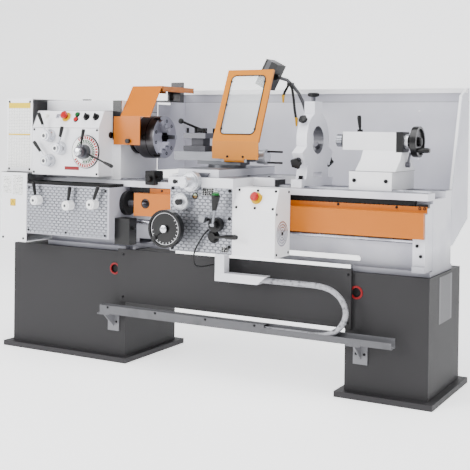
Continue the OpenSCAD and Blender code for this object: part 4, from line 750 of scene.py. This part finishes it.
for n, r in enumerate((16, 27, 38, 49)):
    turned("fan_ring_%d" % (n + 1), [(r - 2.2, 0), (r + 2.2, 0), (r + 2.2, 1.0), (r - 2.2, 1.0)],
           at(1545, -134, 662), rightward, "carriage", bright_steel, 56)
turned("fan_hub", [(0.01, 0), (8, 0), (7.6, 1.6), (0.01, 1.6)], at(1545, -134, 662), rightward, "carriage",
       fan_dark)


# Carriage handwheel: black enamelled disc with a graduated pale ring, a chromed hub and a crank
# grip on its rim.
wheel_black = Finish("wheel_black", paint(22, 22, 24), 0.28, coat=0.6).grain(200, 0.00008)
dress(wheel_black, "carriage_wheel", "tail_wheel")


def scale_ring(name, u, v, centre, marks, inner, outer):
    """Pale dial with black marks: every tenth one is long and the others short."""
    f = Finish(name, paint(220, 221, 224), 0.3, 0.75)
    a, b = getattr(f, u) - centre[0], getattr(f, v) - centre[1]
    part = b.do("ARCTAN2", a) * (marks / (2 * math.pi))
    near = (part.do("FRACT") - 0.5).do("ABSOLUTE").over(0.36, 0.08)
    tenth = ((part * 0.1).do("FRACT") - 0.5).do("ABSOLUTE").over(0.45, 0.01)
    far = f.away(getattr(f, u), getattr(f, v), *centre)
    mid = inner + (outer - inner) * 0.55
    f.lay(near * (far.over(mid) + tenth).do("MINIMUM", 1.0), paint(20, 20, 22), 0.5, 0.0)
    return f


wheel_scale = Finish("wheel_scale", paint(20, 20, 22), 0.3, coat=0.5)
wheel_centre = at(1079, 0, 667)[[0, 2]]
wheel_far = wheel_scale.away(wheel_scale.x, wheel_scale.z, *wheel_centre)
wheel_turn = (wheel_scale.z - wheel_centre[1]).do("ARCTAN2", wheel_scale.x - wheel_centre[0])
wheel_scale.lay(wheel_far.between(0.0655, 0.0672), paint(214, 214, 216))
wheel_marks = (wheel_turn * (24 / (2 * math.pi))).do("FRACT").between(0.44, 0.56, 0.03)
wheel_scale.lay(wheel_marks * wheel_far.between(0.0575, 0.0655) * wheel_turn.under(0.9),
                paint(224, 224, 226))
turned("wheel_scale", [(14, 0), (71.4, 0), (71.4, 1.2), (14, 1.2)], at(1079, -294, 667), forward, "wheel",
       wheel_scale, 96)
crank_bar = [at(1079, -296.5, 667), at(1053, -296.5, 645), at(1027, -296.5, 623)]
tube("wheel_crank", eased(crank_bar, 0.006), 0.0028, "wheel", screw_steel, 12)
turned("wheel_hub", [(0.01, 0), (15.4, 0), (15.4, 1.2), (12, 2.2), (0.01, 2.2)], at(1079, -306, 667),
       forward, "wheel", bright_steel, 48)
grip_turn = math.radians(220)
grip_place = at(1079 + 64 * math.cos(grip_turn), -294, 667 + 64 * math.sin(grip_turn))
turned("wheel_grip_1", [(0.01, 0), (6, 0), (7, 1), (10, 3), (11, 6.5), (9.5, 9), (5, 10), (0.01, 10.125)],
       grip_place, forward, "wheel", knob_black, 32)
dial_centre = at(1112, 0, 778)[[0, 2]]
dial_scale = scale_ring("dial_scale", "x", "z", dial_centre, 60, 0.02, 0.036)
dial_hub = dial_scale.away(dial_scale.x, dial_scale.z, *dial_centre)
dial_scale.lay(dial_hub.under(0.0135) * dial_scale.y.under(-0.363), paint(24, 24, 26), 0.4, 0.0)
dress(dial_scale, "feed_dial")


# Feed lever: a black taper with a green button, on a forked boss inside a steel collar.
stick_black = Finish("stick_black", paint(24, 24, 26), 0.4)
tip = stick_black.z.over(0.8165, 0.0006)
stick_black.lay(tip, paint(24, 140, 70), 0.3)
stick_black.lay(stick_black.z.under(0.752, 0.0006), paint(170, 171, 174), 0.26, 0.9)
stick_black.grain(300, 0.00008)
dress(stick_black, "joystick")
dress(knob_black, "joystick_yoke")
grip_black = Finish("grip_black", paint(22, 22, 24), 0.36).grain(260, 0.0001)
dress(grip_black, "nut_lever", "quill_lock")
turned("lever_boss", [(17.5, 0), (27, 0), (27, 4), (24, 7), (17.5, 7)], at(1262, -201.2, 638), forward,
       "carriage", screw_steel, 48)


# Lead of the feed lever's switch: thin black cable from the boss's foot, hanging in one loop and
# going into the white bracket's side.
lead_black = Finish("lead_black", paint(18, 18, 20), 0.45).grain(200, 0.0001)
lead_route = [(1240, -206, 668), (1226, -214, 650), (1206, -218, 620), (1182, -216, 580), (1166, -204, 545),
              (1156, -180, 515), (1156, -150, 500), (1168, -115, 497), (1190, -85, 502), (1207, -70, 508)]
lead_line = eased([at(*point) for point in lead_route], 0.004)
lead = tube("switch_lead", lead_line, 0.0035, "carriage", lead_black, 12)


# Cross slide, swivel and top slide: ground steel slides on dovetails, scraped on top. The turret
# is black oxide with bright edges and square-headed screws.
def ground(name, colour, rough, along):
    """Ground steel: long faint streaks along one direction, with a few darker patches."""
    f = Finish(name, colour, rough, 0.85)
    stretch = {"x": (0.15, 6, 6), "y": (6, 0.15, 6)}[along]
    streak = f.clouds(60, 3, stretch)
    f.lay(streak.over(0.55, 0.3), tuple(np.array(colour[:3]) * 0.86) + (1.0,), rough + 0.06)
    f.lay(f.clouds(18, 4).over(0.62, 0.3), tuple(np.array(colour[:3]) * 0.92) + (1.0,), rough + 0.1)
    f.raised(streak, 0.00006)
    return f


cross_steel = ground("cross_steel", paint(166, 167, 171), 0.36, "y")
cross_steel.lay(cross_steel.z.under(0.9145, 0.0006), paint(214, 214, 218), 0.4, 0.1)
dress(cross_steel, "cross_slide")
dress(ground("swivel_steel", paint(140, 141, 145), 0.38, "x"), "compound")
dress(ground("slide_steel", paint(164, 165, 169), 0.36, "x"), "top_slide")
turret_steel = ground("turret_steel", paint(112, 112, 116), 0.4, "x")
turret_steel.lay(turret_steel.z.over(1.0684), paint(26, 26, 28), 0.4, 0.4)
turret_steel.lay(turret_steel.z.between(1.0445, 1.0675), paint(140, 140, 144), 0.34)
dress(turret_steel, "turret")
turned("turret_boss", [(0.01, 0), (26, 0), (27, 3), (24, 12), (14, 18), (0.01, 18)], at(1025, 80, 1072),
       upward, "turret", screw_steel, 48)
clamp_line = eased([at(1025, 80, 1084), at(1006, 62, 1094), at(984, 42, 1106), at(966, 24, 1116)], 0.004)
tube("turret_arm", clamp_line, 0.0055, "turret", screw_steel)
turned("turret_ball", [(0.01, 0), (6, 0.8), (11, 5), (13, 12), (11, 19), (6, 23.2), (0.01, 24)],
       clamp_line[-1], clamp_line[-1] - clamp_line[-2], "turret", knob_black, 32)
cross_centre, cross_marks = at(1165, 0, 866)[[0, 2]], 80
cross_scale = scale_ring("cross_scale", "x", "z", cross_centre, cross_marks, 0.024, 0.0425)
band = cross_scale.y.between(-0.3705, -0.3445)
rim_turn = (cross_scale.z - cross_centre[1]).do("ARCTAN2", cross_scale.x - cross_centre[0])
rim_part = (rim_turn * (cross_marks / (2 * math.pi))).do("FRACT")
cross_scale.lay(band * (rim_part - 0.5).do("ABSOLUTE").over(0.38, 0.06), paint(24, 24, 26), 0.5, 0.0)
dress(cross_scale, "cross_handle")
crank_line = [at(1165, -292, 866), at(1150, -293, 866.4), at(1128, -294, 867)]
tube("cross_crank", eased(crank_line, 0.004), 0.0065, "cross_handle", screw_steel)
turned("cross_grip", [(0.01, 0), (7, 0.4), (9.5, 4), (9.5, 7), (6, 10), (0.01, 10.4)], at(1128, -294, 867),
       forward, "cross_handle", knob_black, 32)
top_scale = scale_ring("top_scale", "y", "z", at(0, 80, 967)[1:], 60, 0.02, 0.034)
crank = top_scale.x.over(0.3022)
top_scale.lay(crank, paint(24, 24, 26), 0.36, 0.0)
dress(top_scale, "top_wheel")


# Chip shield: a yellow frame that hangs from the top slide, with a clear window in a black seal.
dress(yellow("shield_yellow", paint(203, 160, 0), paint(200, 156, 0), 5), "chip_shield")
clear = bpy.data.materials.new("clear_window")
clear.use_nodes = True
glass = clear.node_tree.nodes["Principled BSDF"]
glass.inputs["Base Color"].default_value = paint(226, 232, 232)
glass.inputs["Roughness"].default_value = 0.06
glass.inputs["Alpha"].default_value = 0.25
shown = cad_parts["shield_window"]
shown.data.materials.clear()
shown.data.materials.append(clear)
lean_back = math.radians(23.5)
seal_up = np.array([0, math.sin(lean_back), math.cos(lean_back)])
seal_out = np.array([0, -math.cos(lean_back), math.sin(lean_back)])
seal_black = Finish("seal_black", paint(20, 20, 22), 0.55).grain(200, 0.0001)
corner_turn = np.radians(np.concatenate([np.linspace(q, q + 90, 8) for q in (0, 90, 180, 270)]))
half_w, half_h, round_r = 169 / 2 - 22, 285 / 2 - 22, 22
loop = np.stack([np.repeat([1, -1, -1, 1], 8) * half_w + round_r * np.cos(corner_turn),
                 np.repeat([1, 1, -1, -1], 8) * half_h + round_r * np.sin(corner_turn)], 1)
seal_mid = at(1247.5, 0, 1033) + 0.1765 * seal_up + 0.003 * seal_out
section = np.array([(-1.8, 0), (1.8, 0), (2.6, 1.2), (1.2, 2.6), (-1.8, 2.6)])
rise_in = np.stack([np.cos(corner_turn), np.sin(corner_turn)], 1)
seal_rings = np.array([[seal_mid + ((loop[k, 0] + a * rise_in[k, 0]) * np.array([1, 0, 0])
                                    + (loop[k, 1] + a * rise_in[k, 1]) * seal_up + b * seal_out) / 1000
                        for k in range(len(loop))] for a, b in section])
skin("window_seal", seal_rings, "shield", seal_black, hollow=True)
screws("shield_screw", button_head, ((1210, -3, 968), (1287, -3, 968)), forward, "shield")
for n, (x, up) in enumerate(((1164, 60), (1164, 175), (1164, 290), (1331, 60), (1331, 290))):
    clip_place = at(x, 0, 1033) + up / 1000 * seal_up + 0.003 * seal_out
    turned("shield_clip_%d" % (n + 1), button_head, clip_place, seal_out, "shield", knob_black, 20)


# Work lamp and coolant: a black and grey lamp head on a grey arm from the saddle's rear, and two
# segmented black hoses with yellow nozzles.
arm_grey = Finish("arm_grey", paint(120, 120, 124), 0.4, 0.3)
hoses = arm_grey.y.under(0.2095) * arm_grey.z.under(1.305)
arm_grey.lay(hoses, paint(26, 26, 28), 0.45, 0.0)
bead = (arm_grey.z * 95.0).do("FRACT")
arm_grey.lay(hoses * bead.under(0.12, 0.06), paint(8, 8, 9), 0.6)
short_tip = arm_grey.x.under(0.2725) * arm_grey.z.under(1.2485)
long_tip = arm_grey.x.over(0.29) * arm_grey.z.under(1.1445)
arm_grey.lay(hoses * (short_tip + long_tip).do("MINIMUM", 1.0), paint(212, 190, 10), 0.4)
arm_grey.raised(bead.between(0.1, 0.9, 0.15), 0.0008)
dress(arm_grey, "lamp_arm")
head_black = Finish("head_black", paint(30, 30, 32), 0.42)
tilt = head_black.x * math.cos(0.4712) - head_black.z * math.sin(0.4712)
head_black.lay(tilt.under(-0.455), paint(126, 126, 130), 0.4)
head_black.lay(tilt.under(-0.475), paint(24, 24, 26), 0.4)
head_black.grain(300, 0.00008)
dress(head_black, "lamp_head")


# Steady rest: off-white hinged casting clamped on the ways, with three fingers drawn in by
# screws with black star knobs.
steady_paint = painted("steady_paint", paint(222, 222, 226), paint(212, 212, 217), 0.38, 0.3, 6, 0.6, 0.35)
ring_in = steady_paint.away(steady_paint.y, steady_paint.z, *spindle_axis)
steady_paint.lay(ring_in.under(0.0605), paint(150, 150, 154), 0.35, 0.5)
clamp_knob = ring_in.over(0.1281) * steady_paint.z.over(1.1) * steady_paint.y.under(-0.05)
steady_paint.lay(clamp_knob, paint(24, 24, 26), 0.4)
steady_paint.grain(420, 0.0001)
dress(steady_paint, "steady_rest")
finger_steel = Finish("finger_steel", paint(150, 150, 154), 0.32, 0.9)
finger_far = finger_steel.away(finger_steel.y, finger_steel.z, *spindle_axis)
finger_steel.lay(finger_far.over(0.1875), paint(24, 24, 26), 0.4, 0.0)
dress(finger_steel, "steady_jaw_1", "steady_jaw_2", "steady_jaw_3")


def star_knob(name, foot, axis, radius, high, body):
    """A moulded star knob: each ring's radius swells and draws in five times round."""
    axis = np.array(axis, float)
    first = np.array([1.0, 0, 0])
    second = np.cross(axis, first)
    turn = np.linspace(0, 2 * np.pi, 60, endpoint=False)
    lobes = 0.86 + 0.14 * np.cos(5 * turn)
    rings = []
    for part, h in ((0.45, 0), (0.7, 0.08), (0.96, 0.3), (1.0, 0.62), (0.9, 0.88), (0.6, 1.0), (0.01, 1.02)):
        r = radius * part * (lobes if part > 0.5 else 1.0)
        rings.append(foot + (h * high * axis[None] + (r * np.cos(turn))[:, None] * first
                             + (r * np.sin(turn))[:, None] * second) / 1000)
    return skin(name, np.array(rings), body, knob_black)


for n, a in enumerate((0, 120, -120)):
    out = round_spindle(a)
    star_knob("star_knob_%d" % (n + 1), at(1550, spindle_y, spindle_z) + 0.186 * out, out, 27, 19,
              "finger_%d" % (n + 1))
out = round_spindle(50)
star_knob("star_knob_clamp", at(1550, spindle_y, spindle_z) + 0.129 * out, out, 21, 17, "steady")
screws("steady_bolt", [(0.01, 0), (13, 0), (13, 3), (10, 3), (10, 14), (9, 15), (0.01, 15)],
       ((1550, 30, 879), (1550, 270, 879)), upward, "steady", 6)


# Tailstock: two-part off-white casting on the ways. The quill is ground steel, and the black
# handwheel has a graduated collar and a turned crank grip.
tail_paint = painted("tail_paint", paint(230, 230, 233), paint(223, 223, 227), 0.36, 0.35)
tail_paint.lay(tail_paint.x.over(0.8778) * tail_paint.z.over(1.0), paint(28, 28, 30), 0.4)
tail_paint.lay(tail_paint.z.between(0.9215, 0.9235), paint(120, 120, 124))
tail_paint.grain(420, 0.0001)
dress(tail_paint, "tailstock")
dress(machined("quill_steel", paint(176, 177, 181), 0.24, "y", "z", spindle_axis), "quill")
clamp_steel = Finish("clamp_steel", paint(150, 150, 154), 0.3, 0.9).grain(500, 0.00005, 2)
dress(clamp_steel, "bed_clamp")
tail_scale = scale_ring("tail_scale", "y", "z", spindle_axis, 50, 0.02, 0.031)
turned("tail_collar", [(20.2, 0), (30.5, 0), (30.5, 15), (20.2, 15)], at(1970.6, spindle_y, spindle_z),
       rightward, "tail_wheel", tail_scale, 64)
turned("tail_hub", [(0.01, 0), (18, 0), (17, 5), (10, 7), (0.01, 7.5)], at(2031, spindle_y, spindle_z),
       rightward, "tail_wheel", screw_steel, 48)
turned("tail_grip", [(0.01, 0), (8.8, 0), (9.4, 10), (11, 28), (10.4, 44), (7, 52), (0.01, 53)],
       at(2030.5, 114, 1011), rightward, "tail_wheel", knob_black, 32)
turned("barrel_nose", [(27.6, 0), (35, 0), (36, 2), (36, 8), (27.6, 8)], at(1705, spindle_y, spindle_z),
       (-1, 0, 0), "tailstock", screw_steel, 56)
screws("tail_screw", [(0.01, 0), (8, 0), (8, 5), (7, 6), (4, 6), (4, 3), (0.01, 3)],
       ((1800, 9, 885), (1936, 9, 885)), forward, "tailstock", 24)
